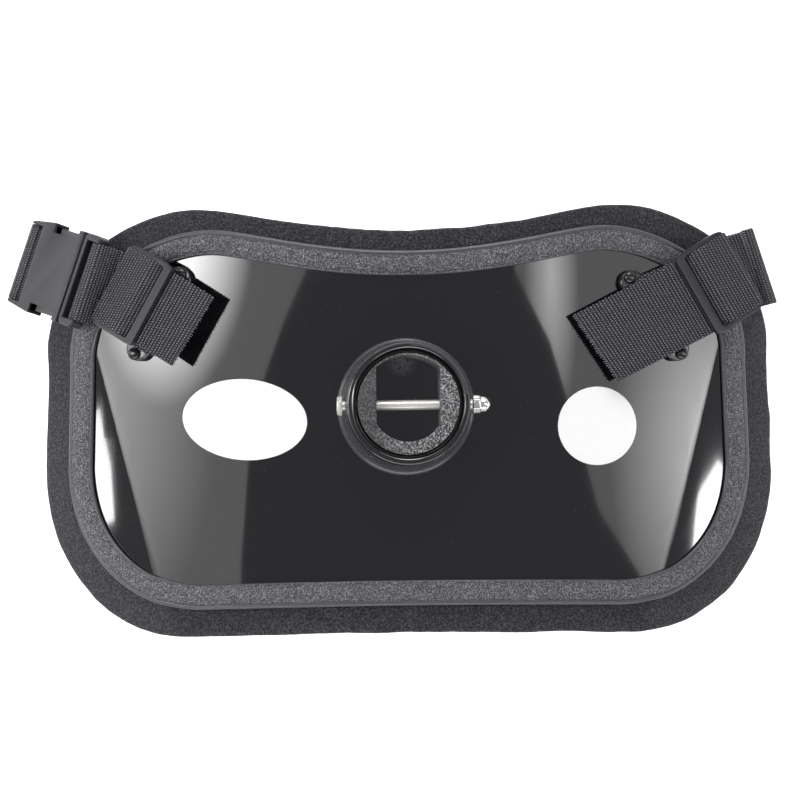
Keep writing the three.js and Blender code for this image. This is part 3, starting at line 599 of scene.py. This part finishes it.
foam = make_foam()
pebbled = grained("pebbled_rubber", 1050, 0.1, (0.016, 0.0165, 0.019), (0.3, 0.305, 0.335), (0.7, 0.35),
                  1.0, 0.7)
smooth_rubber = grained("smooth_rubber", 500, 0.3, (0.03, 0.031, 0.034), (0.06, 0.062, 0.068), (0.36, 0.28),
                        0.2, 0.1)
gloss = make_gloss()
cup_gloss = make_cup_gloss()
# Outer flank of the cup: a duller moulded finish, coloured lighter than the gloss, partly its own tone and
# partly a painted reflection of the surroundings
cup_flank_dull_and_painted_reflection = grained("cup_flank_dull_and_painted_reflection", 700, 0.3, (0.034, 0.034, 0.037), (0.05, 0.05, 0.054), (0.3, 0.2), 0.1, 0.05)
insert_look = make_insert()
moulded = grained("moulded_black", 2600, 0.3, (0.009, 0.0095, 0.0118), (0.0172, 0.018, 0.0215), (0.42, 0.32),
                  0.2, 0.1)
black_metal = grained("coated_black", 1500, 0.3, (0.008, 0.008, 0.009), (0.016, 0.016, 0.017), (0.22, 0.14),
                      0.1, 0.05)
steel = make_steel()
bright_steel = make_bright_steel()
vinyl = grained("white_vinyl", 1200, 0.3, (0.66, 0.66, 0.655), (0.71, 0.71, 0.705), (0.3, 0.38), 0.1, 0.02)
woven = make_webbing()


# Foam pad

def make_pad():
    outline = []
    for p in belt_outline(half_count=180):
        wander = noise.noise(Vector((p.x, p.y, 0)) / 26) * 0.9
        wander += noise.noise(Vector((p.x, p.y, 40)) / 7) * 0.35
        outline.append(p + (p - Vector((0, -10))).normalized() * (wander - 0.6))
    shares = [0.985, 0.96, 0.92, 0.87, 0.81, 0.74, 0.67, 0.6, 0.53, 0.46, 0.38, 0.3, 0.22, 0.14, 0.06]
    pad = lay_sheet("foam_pad_brushed", outline, BELT_MIDDLE, shares, crease_cuts(WING_ROUND))
    lift_onto_belt(pad, 0)
    apply_modifier(pad, "SOLIDIFY", thickness=PAD_THICKNESS * MM, offset=-1, use_even_offset=True)
    round_rim(pad, 1.6, 3)
    shade(pad, 50)
    settle(pad, "foam", "foam_pad", looks=[foam])


# Rubber edge, plate and labels

def make_edge_trim():
    outline = belt_outline(EDGE_MARGIN["side"], EDGE_MARGIN["top"], EDGE_MARGIN["foot"], 180)
    front = EDGE_FRONT
    section = [
        (0.9, FOAM_GAP), (0.25, FOAM_GAP + 0.25), (0, FOAM_GAP + 0.9), (0, EDGE_SLOT + 0.3 * front),
        (0.35, EDGE_SLOT + 0.52 * front), (1.1, EDGE_SLOT + 0.7 * front), (2, EDGE_SLOT + 0.76 * front),
        (2.7, EDGE_SLOT + 0.66 * front), (3.1, EDGE_SLOT + 0.6 * front), (3.5, EDGE_SLOT + 0.74 * front),
        (4.4, EDGE_SLOT + 0.92 * front), (6.2, EDGE_SLOT + front), (9, EDGE_SLOT + front),
        (11, EDGE_SLOT + 0.97 * front), (12.8, EDGE_SLOT + 0.86 * front), (13.9, EDGE_SLOT + 0.7 * front),
        (14.4, EDGE_SLOT + 0.56 * front), (14.8, EDGE_SLOT + 0.62 * front), (15.3, EDGE_SLOT + 0.62 * front),
        (15.8, EDGE_SLOT + 0.5 * front), (EDGE_WIDTH, EDGE_SLOT + 0.25 * front), (EDGE_WIDTH, EDGE_SLOT),
        (EDGE_WALL, EDGE_SLOT), (EDGE_WALL, FOAM_GAP + EDGE_BACK), (EDGE_FOOT_WIDTH, FOAM_GAP + EDGE_BACK),
        (EDGE_FOOT_WIDTH, FOAM_GAP),
    ]
    loops = [[on_belt(p.x, p.y, height) for p in inset(outline, distance)] for distance, height in section]
    trim = skin("edge_trim_pebbled", loops, closed=True)
    settle(trim, "edge_rubber", "edge_trim", looks=[smooth_rubber, pebbled])
    mark_pebbled(trim, outline)
    shade(trim, 50)


def mark_pebbled(trim, outline):
    """The middle of the front face is pebbled; its two margins and the back stay smooth"""
    pebbled_from, pebbled_to = 3.1, 15.2
    for face in trim.data.polygons:
        spot = (face.center - crown) / MM
        near = min(((spot.x - p.x) ** 2 + (spot.y - p.y) ** 2, i) for i, p in enumerate(outline))[1]
        here, after = outline[near], outline[(near + 1) % len(outline)]
        run = (after - outline[near - 1]).normalized()
        inward = Vector((-run.y, run.x))
        slope = normal_at(here.x, here.y)
        lean = face.normal.dot(slope)
        foot = Vector((spot.x, spot.y)) - Vector((slope.x, slope.y)) * (EDGE_SLOT + EDGE_FRONT)
        distance = (foot - here).dot(inward)
        face.material_index = 1 if lean > 0.3 and pebbled_from < distance < pebbled_to else 0


def make_plate():
    outline = belt_outline(EDGE_MARGIN["side"], EDGE_MARGIN["top"], EDGE_MARGIN["foot"], 180)
    rim = inset(outline, EDGE_WALL + GAP)
    shares = [0.975, 0.945, 0.91, 0.87, 0.825, 0.775, 0.72]
    shares += [round(0.66 - 0.06 * i, 2) for i in range(11)]
    plate = lay_sheet("face_plate_gloss", rim, BELT_MIDDLE, shares, crease_cuts(WING_ROUND))
    lift_onto_belt(plate, PLATE_FRONT)
    apply_modifier(plate, "SOLIDIFY", thickness=PLATE_THICKNESS * MM, offset=-1, use_even_offset=True)
    shade(plate, 50)
    settle(plate, "gloss_shell", "face_plate", looks=[gloss])


def make_label_piece(node, name, centre, length, width, turn):
    thickness, sides = 0.4, 96
    outline = ellipse(centre, length, width, turn, sides)
    label = lay_sheet(name, outline, centre, [0.985, 0.94, 0.8, 0.6, 0.4, 0.2])
    lift_onto_belt(label, PLATE_FRONT + GAP + thickness)
    apply_modifier(label, "SOLIDIFY", thickness=thickness * MM, offset=-1)
    soften(label, 0.12, 2, 50)
    shade(label, 50)
    settle(label, "label", node, looks=[vinyl])


# Rod cup, insert, pin and nut

def cup_ring(radius, height):
    lean = CUP_LEAN * (height / CUP_HEIGHT - 0.5)
    ring = []
    for i in range(CUP_SIDES):
        angle = 2 * math.pi * i / CUP_SIDES
        ring.append(Vector((
            cup_axis.x + (lean.x + radius * math.cos(angle)) * MM,
            cup_axis.y + (lean.y + radius * math.sin(angle)) * MM,
            cup_low.z + height * MM)))
    return ring


def make_cup():
    profile = [
        (20, 0), (42.7, 0), (43.3, 0.25), (43.5, 0.8), (43.5, 2.2), (43.35, 2.9), (42.95, 3.45),
        (42.4, 3.85), (41.9, 4.1), (41.35, 4.6), (41.0, 5.6), (40.6, 10), (40.1, 15), (39.6, 20),
        (39.2, 25), (38.8, 30), (38.5, 33.2), (38.25, 34.3), (37.7, 34.9), (37.1, 35), (36.2, 34.75),
        (35.6, 34.75), (35.1, 35), (34.7, 34.8), (34.4, 34.2), (34.4, 29), (34.2, 28.3), (33.6, 28),
        (32.7, 28), (32.35, 27.6), (32.3, 27), (32.3, 4.6), (31.8, 4.1), (31, 4), (12, 4),
    ]
    cup = skin("rod_cup_gloss", [cup_ring(r, h) for r, h in profile])
    shade(cup, 38)
    settle(cup, "gloss_shell", "rod_cup", looks=[cup_gloss, cup_flank_dull_and_painted_reflection])
    # Faces of the outer flank take the flank finish, whose lighter colour is partly a painted reflection
    flank_from = 37.8 * MM
    for face in cup.data.polygons:
        reach = (face.center - cup_axis).to_2d().length
        face.material_index = 1 if reach > flank_from and face.normal.z > -0.5 else 0


def make_insert_piece():
    insert = refined("cup_insert", "cup_insert_coarse", 0.9, 3, 40)
    settle(insert, "insert", "cup_insert", looks=[insert_look, cup_gloss])
    for face in insert.data.polygons:
        face.material_index = 1 if 0.2 < abs(face.normal.z) < 0.95 else 0


def round_ring(x, centre, radius, sides):
    ring = []
    for i in range(sides):
        angle = 2 * math.pi * i / sides
        ring.append(Vector((x, centre.y + radius * math.cos(angle), centre.z + radius * math.sin(angle))))
    return ring


def turned_along_x(name, centre, profile, sides):
    return skin(name, [round_ring(x, centre, radius, sides) for x, radius in profile])


def make_pin():
    low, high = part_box("gimbal_pin")
    centre = (low + high) / 2
    radius, head_radius, head_length = 3.175 * MM, 6 * MM, 3.4 * MM
    shank_from = low.x + head_length * 0.8
    shank = turned_along_x("pin_shank", centre, [
        (shank_from, radius), (high.x - 0.6 * MM, radius), (high.x - 0.1 * MM, radius * 0.86)], PIN_SIDES)
    chamfer = 0.5 * MM
    head = turned_along_x("pin_head", centre, [
        (low.x, head_radius * 0.82), (low.x + chamfer, head_radius), (low.x + head_length, head_radius)], 6)
    soften(head, 0.25, 2, 20)
    pin = join_pieces("gimbal_pin_satin", shank, head)
    shade(pin, 30)
    settle(pin, "steel", "gimbal_pin", looks=[steel])


def make_nut():
    low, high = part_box("acorn_nut")
    centre = (low + high) / 2
    hex_length = 5.6 * MM
    across, dome = 5.9 * MM, 4.9 * MM
    corner = [(low.x, across * 0.9), (low.x + 0.5 * MM, across), (low.x + hex_length - 0.9 * MM, across),
              (low.x + hex_length, across * 0.86)]
    body = turned_along_x("nut_hex", centre, corner, 6)
    soften(body, 0.3, 2, 20)
    start = low.x + hex_length - 0.3 * MM
    reach = high.x - start
    rise = []
    steps = 12
    for i in range(steps):
        angle = math.pi / 2 * i / steps
        rise.append((start + reach * (0.3 + 0.7 * math.sin(angle)), dome * math.cos(angle)))
    cap = turned_along_x("nut_dome", centre, [(start, dome)] + rise, PIN_SIDES)
    nut = join_pieces("acorn_nut_bright", body, cap)
    shade(nut, 30)
    settle(nut, "steel", "acorn_nut", looks=[bright_steel])


# Places of the strap hardware, read from the flat faces of the CAD pieces

def hardware_frame(node):
    """X outward along the strap, Y across it, Z away from the belt, at the middle of the piece's box"""
    copy = bmesh.new()
    copy.from_mesh(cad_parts[node].data)
    bmesh.ops.remove_doubles(copy, verts=copy.verts, dist=1e-6)
    areas = {}
    for face in copy.faces:
        key = tuple(round(c, 2) for c in face.normal)
        total, normal = areas.get(key, (0.0, Vector()))
        area = face.calc_area()
        areas[key] = (total + area, normal + face.normal * area)
    faces = sorted(((total, normal.normalized()) for total, normal in areas.values()), key=lambda f: -f[0])
    away = next(normal for _, normal in faces if normal.z > 0.3)
    points = [v.co.copy() for v in copy.verts]
    copy.free()

    def extent(axis):
        values = [p.dot(axis) for p in points]
        return min(values), max(values)

    level = next(normal for _, normal in faces if abs(normal.dot(away)) < 0.02)
    level = (level - away * level.dot(away)).normalized()
    across = max((level, away.cross(level)), key=lambda axis: extent(axis)[1] - extent(axis)[0])
    outward = across.cross(away)
    if outward.x * (points[0].x - crown.x) < 0:
        outward = -outward
    across = away.cross(outward)
    axes = (outward, across, away)
    middle = sum((axis * sum(extent(axis)) / 2 for axis in axes), Vector())
    size = [extent(axis)[1] - extent(axis)[0] for axis in axes]
    place = Matrix((outward, across, away)).transposed().to_4x4()
    place.translation = middle
    return place, size


def round_corners(piece, chosen, radius, segments):
    """Rounds the flat corners that chosen picks by the size of their x and y"""
    bpy.ops.mesh.select_all(action="DESELECT")
    mesh = bmesh.from_edit_mesh(piece.data)
    for vertex in mesh.verts:
        vertex.select_set(chosen(abs(vertex.co.x), abs(vertex.co.y)))
    mesh.select_flush(True)
    bmesh.update_edit_mesh(piece.data)
    bpy.ops.mesh.bevel(affect="VERTICES", offset=radius, segments=segments)


def make_slider(side):
    place, (length, width, thickness) = hardware_frame(f"slider_{side}")
    bar, middle_bar, end = 6 * MM, 5 * MM, 2.75 * MM
    corner, slot_corner = 8.5 * MM, 2 * MM
    half, wide = length / 2, width / 2
    xs = [-half, -half + bar, -middle_bar / 2, middle_bar / 2, half - bar, half]
    ys = [-wide, -wide + end, wide - end, wide]
    rest_all()
    columns, rows = len(xs) - 1, len(ys) - 1
    bpy.ops.mesh.primitive_grid_add(x_subdivisions=columns, y_subdivisions=rows, size=1)
    slider = bpy.context.object
    slider.name = f"slider_{side}_moulded"
    for vertex in slider.data.vertices:
        column = round((vertex.co.x + 0.5) * columns)
        row = round((vertex.co.y + 0.5) * rows)
        vertex.co = (xs[column], ys[row], 0)
    edit(slider)
    bpy.ops.mesh.select_all(action="DESELECT")
    mesh = bmesh.from_edit_mesh(slider.data)
    for face in mesh.faces:
        spot = face.calc_center_median()
        in_slot = middle_bar / 2 < abs(spot.x) < half - bar and abs(spot.y) < wide - end
        face.select_set(in_slot)
    bmesh.update_edit_mesh(slider.data)
    bpy.ops.mesh.delete(type="FACE")
    round_corners(slider, lambda x, y: x > half - TINY and y > wide - TINY, corner, 10)
    round_corners(slider, lambda x, y: abs(x - half + bar) < TINY and abs(y - wide + end) < TINY,
                  slot_corner, 6)
    bpy.ops.mesh.select_all(action="SELECT")
    bpy.ops.mesh.extrude_region_move(TRANSFORM_OT_translate={"value": (0, 0, thickness)})
    bpy.ops.mesh.select_all(action="SELECT")
    bpy.ops.mesh.normals_make_consistent(inside=False)
    finish_edit()
    slider.data.transform(Matrix.Translation((0, 0, -thickness / 2)))
    soften(slider, 1.4, 4, 40)
    shade(slider, 40)
    slider.data.transform(place)
    settle(slider, "moulded", f"slider_{side}", looks=[moulded])


def make_loop(side):
    loop = refined(f"strap_loop_{side}", f"strap_loop_{side}_coated", 0.6, 3, 40)
    settle(loop, "loop_steel", f"strap_loop_{side}", looks=[black_metal])


def make_screw(side, level):
    node = f"loop_screw_{side}_{level}"
    place, _ = hardware_frame(f"strap_loop_{side}")
    outward, across, away = (place.col[i].to_3d() for i in range(3))
    low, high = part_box(node)
    heights = [v.co.dot(away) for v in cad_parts[node].data.vertices]
    top, foot = max(heights), min(heights)
    middle = (low + high) / 2
    axis_point = middle + away * (top - middle.dot(away))
    radius, shank, rise = 3.9 * MM, 2 * MM, 3 * MM
    dome = rise * 0.78
    profile = [(shank, top - foot), (shank, rise), (radius * 0.97, rise), (radius, rise * 0.92)]
    profile.append((radius, dome))
    steps = 9
    for i in range(1, steps):
        angle = math.pi / 2 * i / steps
        profile.append((radius * math.cos(angle), dome * (1 - math.sin(angle))))
    turns = [2 * math.pi * i / SCREW_SIDES for i in range(SCREW_SIDES)]
    loops = [[axis_point - away * depth + outward * r * math.cos(turn) + across * r * math.sin(turn)
              for turn in turns] for r, depth in profile]
    screw = skin(f"{node}_gloss", loops)
    shade(screw, 35)
    settle(screw, "screw_gloss", node, looks=[black_metal])


def make_buckle():
    female = refined("buckle_female", "buckle_female_moulded", 1.0, 3, 40)
    settle(female, "moulded", "buckle_female", looks=[moulded])
    male = refined("buckle_male", "buckle_male_moulded", 0.8, 3, 40)
    settle(male, "moulded", "buckle_male", looks=[moulded])


# Webbing

def strap_stations(node):
    """Middle and width direction of each cross section of a CAD strap, from one end to the other"""
    copy = bmesh.new()
    copy.from_mesh(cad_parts[node].data)
    bmesh.ops.remove_doubles(copy, verts=copy.verts, dist=2e-6)
    copy.verts.index_update()
    corners = next(filter(None, map(end_corners, sorted(copy.verts, key=lambda v: len(v.link_faces)))))
    stations, seen = [], set()
    while len(corners) == 4:
        spots = [v.co.copy() for v in sorted(corners, key=lambda v: -v.index)]
        middle = sum(spots, Vector()) / 4
        beside = min(spots[1:], key=lambda p: (p - spots[0]).length)
        width = (middle - (spots[0] + beside) / 2).normalized()
        if stations and width.dot(stations[-1][1]) < 0:
            width = -width
        stations.append((middle, width))
        seen |= corners
        around = {edge.other_vert(vertex) for vertex in corners for edge in vertex.link_edges}
        corners = around - seen
    copy.free()
    return stations


def end_corners(vertex):
    """The four corners of the strap's cut end that a vertex belongs to, or None"""
    thickness_limit = WEB_THICKNESS * MM * 1.6
    for face in vertex.link_faces:
        corners = set(face.verts)
        for edge in face.edges:
            for other in edge.link_faces:
                if other.normal.dot(face.normal) > 0.999:
                    corners |= set(other.verts)
        if len(corners) == 4:
            spots = [v.co for v in corners]
            sides = sorted((a - b).length for i, a in enumerate(spots) for b in spots[i + 1:])
            if sides[1] < thickness_limit and abs(sides[2] / (WEB_WIDTH * MM) - 1) < 0.02:
                return corners
    return None


def make_strap(node, name):
    stations = strap_stations(node)
    middles = [middle for middle, _ in stations]
    widths = [width for _, width in stations]
    lengths = [0.0]
    for a, b in zip(middles, middles[1:]):
        lengths.append(lengths[-1] + (b - a).length)
    total = lengths[-1]
    step = RIB_PITCH * MM / 4
    count = int(total / step)
    points, sides = [], []
    j = 0
    for i in range(count + 1):
        at = total * i / count
        while j < len(lengths) - 2 and lengths[j + 1] < at:
            j += 1
        share = (at - lengths[j]) / max(lengths[j + 1] - lengths[j], 1e-9)
        points.append(middles[j].lerp(middles[j + 1], min(share, 1)))
        sides.append(widths[j].lerp(widths[j + 1], min(share, 1)).normalized())
    for _ in range(4):
        eased = [(a + b * 2 + c) / 4 for a, b, c in zip(points, points[1:], points[2:])]
        points = [points[0]] + eased + [points[-1]]
    faces = []
    for i in range(count + 1):
        run = (points[min(i + 1, count)] - points[max(i - 1, 0)]).normalized()
        faces.append(run.cross(sides[i]).normalized())
    section = strap_section()
    around = len(section)
    rest_all()
    bpy.ops.mesh.primitive_grid_add(x_subdivisions=count, y_subdivisions=around, size=1)
    strap = bpy.context.object
    strap.name = name
    index_of = []
    for vertex in strap.data.vertices:
        i = round((vertex.co.x + 0.5) * count)
        k = round((vertex.co.y + 0.5) * around)
        index_of.append((i, k))
        across, high, rib_share = section[k % around]
        wave = -math.cos(i * math.pi / 2)
        rib = math.copysign(1, high) * RIB_RISE * wave * rib_share
        pull = math.copysign(1, across) * EDGE_PULL * (1 + wave) * (1 - rib_share)
        reach = across * WEB_WIDTH / 2 + pull
        vertex.co = points[i] + (sides[i] * reach + faces[i] * (high * WEB_THICKNESS / 2 + rib)) * MM
    map_strap(strap, index_of, section, step)
    edit(strap)
    bpy.ops.mesh.remove_doubles(threshold=1e-7)
    bpy.ops.mesh.select_all(action="DESELECT")
    bpy.ops.mesh.select_non_manifold()
    bpy.ops.mesh.edge_face_add()
    finish_edit()
    face_outward(strap)
    shade(strap, 70)
    threads = [make_fringe(points[0], points[0] - points[3], sides[0], faces[0]),
               make_fringe(points[-1], points[-1] - points[-4], sides[-1], faces[-1])]
    join_pieces(name, strap, *threads)
    settle(strap, "webbing", node, looks=[woven])


def make_fringe(end, away, across, face):
    """Short cut threads standing out of the strap's end"""
    away = away.normalized()
    threads = []
    chance = random.Random(7)
    count = int(WEB_WIDTH / THREAD_PITCH)
    rest_all()
    bpy.ops.mesh.primitive_cone_add(vertices=6, radius1=0.45 * MM, radius2=0.2 * MM, depth=1)
    model = bpy.context.object
    layer = model.data.uv_layers.new(name="strap")
    # The threads sit on a loop top of the weave's map, so they take its painted highlight colour
    for corner in layer.data:
        corner.uv = (THREAD_PITCH / 2, RIB_PITCH / 2)
    for row in (-0.4, 0.4):
        for i in range(count):
            length = (0.5 + 1.1 * chance.random()) * MM
            lean = away + across * (chance.random() - 0.5) * 0.5 + face * (chance.random() - 0.5) * 0.3
            lean.normalize()
            beside = (i + 0.5 + 0.3 * (chance.random() - 0.5)) * THREAD_PITCH - WEB_WIDTH / 2
            spot = end + (across * beside + face * row) * MM
            turn = lean.to_track_quat("Z", "Y").to_matrix().to_4x4()
            place = Matrix.Translation(spot + lean * (length / 2 - 0.2 * MM)) @ turn
            thread = model.copy()
            thread.data = model.data.copy()
            thread.data.transform(place @ Matrix.Diagonal((1, 1, length, 1)))
            bpy.context.scene.collection.objects.link(thread)
            threads.append(thread)
    bpy.data.objects.remove(model)
    return join_pieces("threads", *threads)


def strap_section():
    """Corners round the strap's section: place across, height, and how much of a rib each one carries"""
    columns = 8
    low_edge = 0.55
    section = []
    for k in range(columns + 1):
        section.append((-0.985 + 1.97 * k / columns, 1.0, 1.0))
    section += [(1.0, low_edge, 0.0), (1.004, 0.0, 0.0), (1.0, -low_edge, 0.0)]
    for k in range(columns + 1):
        section.append((0.985 - 1.97 * k / columns, -1.0, 1.0))
    section += [(-1.0, -low_edge, 0.0), (-1.004, 0.0, 0.0), (-1.0, low_edge, 0.0)]
    return section


def map_strap(strap, index_of, section, step):
    """The strap's own map, in millimetres: across it and along it"""
    layer = strap.data.uv_layers.new(name="strap")
    for face in strap.data.polygons:
        for corner, vertex in zip(face.loop_indices, face.vertices):
            i, k = index_of[vertex]
            layer.data[corner].uv = (section[k % len(section)][0] * WEB_WIDTH / 2, i * step / MM)


# Camera, floor and light

def make_camera():
    off_axis, height, turn = Vector((-5.3, 3.3)) * MM, 1.768, -0.75
    data = bpy.data.cameras.new("camera")
    data.lens = 120
    data.sensor_width = 36
    camera = bpy.data.objects.new("camera", data)
    bpy.context.scene.collection.objects.link(camera)
    camera.location = (crown.x + off_axis.x, crown.y + off_axis.y, height)
    camera.rotation_euler = (0, 0, math.radians(turn))
    bpy.context.scene.camera = camera


def make_floor():
    rest_all()
    bpy.ops.mesh.primitive_grid_add(x_subdivisions=4, y_subdivisions=4, size=14)
    floor = bpy.context.object
    floor.name = "studio_floor"
    look, _, shader = material("floor_white")
    shader.inputs["Base Color"].default_value = (0.88, 0.88, 0.88, 1)
    shader.inputs["Roughness"].default_value = 0.9
    shader.inputs["Emission Color"].default_value = (1, 1, 1, 1)
    shader.inputs["Emission Strength"].default_value = 0.7
    floor.data.materials.append(look)


def soft_panel(name, corners, base, glows=()):
    """A lit card through the corners, in metres from the crown of the belt"""
    points = [crown + Vector(corner) for corner in corners]
    panel = begin_loop(name, points)
    bpy.ops.mesh.edge_face_add()
    finish_edit()
    look, tree, shader = material(f"{name}_glow")
    place = tree.nodes.new("ShaderNodeTexCoord").outputs["Object"]
    level = wire(tree, "ShaderNodeValue").outputs[0]
    level.default_value = base
    for centre, radii, strength in glows:
        glow = glow_at(tree, place, crown + Vector(centre), radii, strength)
        level = maths(tree, "ADD", level, glow)
    shader.inputs["Base Color"].default_value = (0, 0, 0, 1)
    shader.inputs["Specular IOR Level"].default_value = 0
    tree.links.new(level, shader.inputs["Emission Color"])
    shader.inputs["Emission Strength"].default_value = 1
    panel.data.materials.append(look)
    panel.visible_camera = False
    return panel


def make_light():
    left = soft_panel("left_panel", [
        (-0.13, 0.26, 1), (-0.06, 0.155, 1), (-0.19, 0.141, 1), (-0.3, 0.085, 1), (-0.4, 0.02, 1),
        (-0.46, -0.05, 1), (-0.5, -0.16, 1), (-0.52, -0.4, 1), (-1.7, -0.4, 1), (-1.7, 0.26, 1)],
        1.5, [((-0.86, 0.2, 1), (0.44, 0.2, 1), 26), ((-1.35, 0, 1), (0.75, 0.3, 1), 5)])
    right = soft_panel("right_panel", [
        (0.2, 0.26, 1), (0.24, 0.133, 1), (0.39, 0.06, 1), (0.5, -0.03, 1), (0.6, -0.115, 1),
        (0.82, -0.2, 1), (0.95, -0.3, 1), (1.7, -0.3, 1), (1.7, 0.26, 1)],
        1.4, [((1.25, -0.06, 1), (0.6, 0.24, 1), 8), ((0.4, 0.13, 1), (0.12, 0.16, 1), 5)])
    right_low = soft_panel("right_low_panel", [
        (1.3, -0.29, 0.4), (1.3, -0.29, 0.54), (1.3, -0.21, 0.51), (1.3, -0.165, 0.43),
        (1.3, -0.18, 0.36)], 20)
    left_low = soft_panel("left_low_panel", [
        (-1.3, -0.23, 0.4), (-1.3, -0.23, 0.49), (-1.3, -0.17, 0.48), (-1.3, -0.1, 0.44),
        (-1.3, -0.12, 0.36)], 18)
    behind = soft_panel("far_panel", [(-0.9, 1.3, 0.5), (0.9, 1.3, 0.5), (0.9, 1.1, 1), (-0.9, 1.1, 1)],
                        2.5, [((0, 1.2, 0.75), (0.4, 0.4, 0.4), 16)])
    beside = soft_panel("side_panel", [
        (-1.3, 0, 0.15), (-1.3, 0.6, 0.15), (-1.3, 0.6, 0.75), (-1.3, 0, 0.75)], 4)
    ahead = soft_panel("near_panel", [
        (-0.9, -1.3, 0.5), (-0.9, -1.1, 1), (0.9, -1.1, 1), (0.9, -1.3, 0.5)], 5)
    world = bpy.data.worlds.new("studio")
    bpy.context.scene.world = world
    world.use_nodes = True
    tree = world.node_tree
    place = tree.nodes.new("ShaderNodeTexCoord")
    split = wire(tree, "ShaderNodeSeparateXYZ", Vector=place.outputs["Generated"])
    background = tree.nodes["Background"]
    tree.links.new(ranged(tree, split.outputs["Z"], 0.1, 0.75, 0.5, 0.36), background.inputs["Strength"])
    background.inputs["Color"].default_value = (0.93, 0.94, 1, 1)
    bpy.context.scene.view_settings.view_transform = "Standard"


make_camera()
make_floor()
make_light()
make_pad()
make_edge_trim()
make_plate()
make_label_piece("label_oval", "label_oval_vinyl", Vector((-0.431 * PAD_HALF_WIDTH, -0.053 * PAD_BELOW)),
                 79, 51.5, -4.8)
make_label_piece("label_round", "label_round_vinyl", Vector((0.496 * PAD_HALF_WIDTH, -0.099 * PAD_BELOW)),
                 50, 50, 0)
make_cup()
make_insert_piece()
make_pin()
make_nut()
for side in ("left", "right"):
    make_slider(side)
    make_loop(side)
    for level in ("upper", "lower"):
        make_screw(side, level)
make_buckle()
make_strap("strap_left", "strap_left_woven")
make_strap("strap_main", "strap_main_woven")
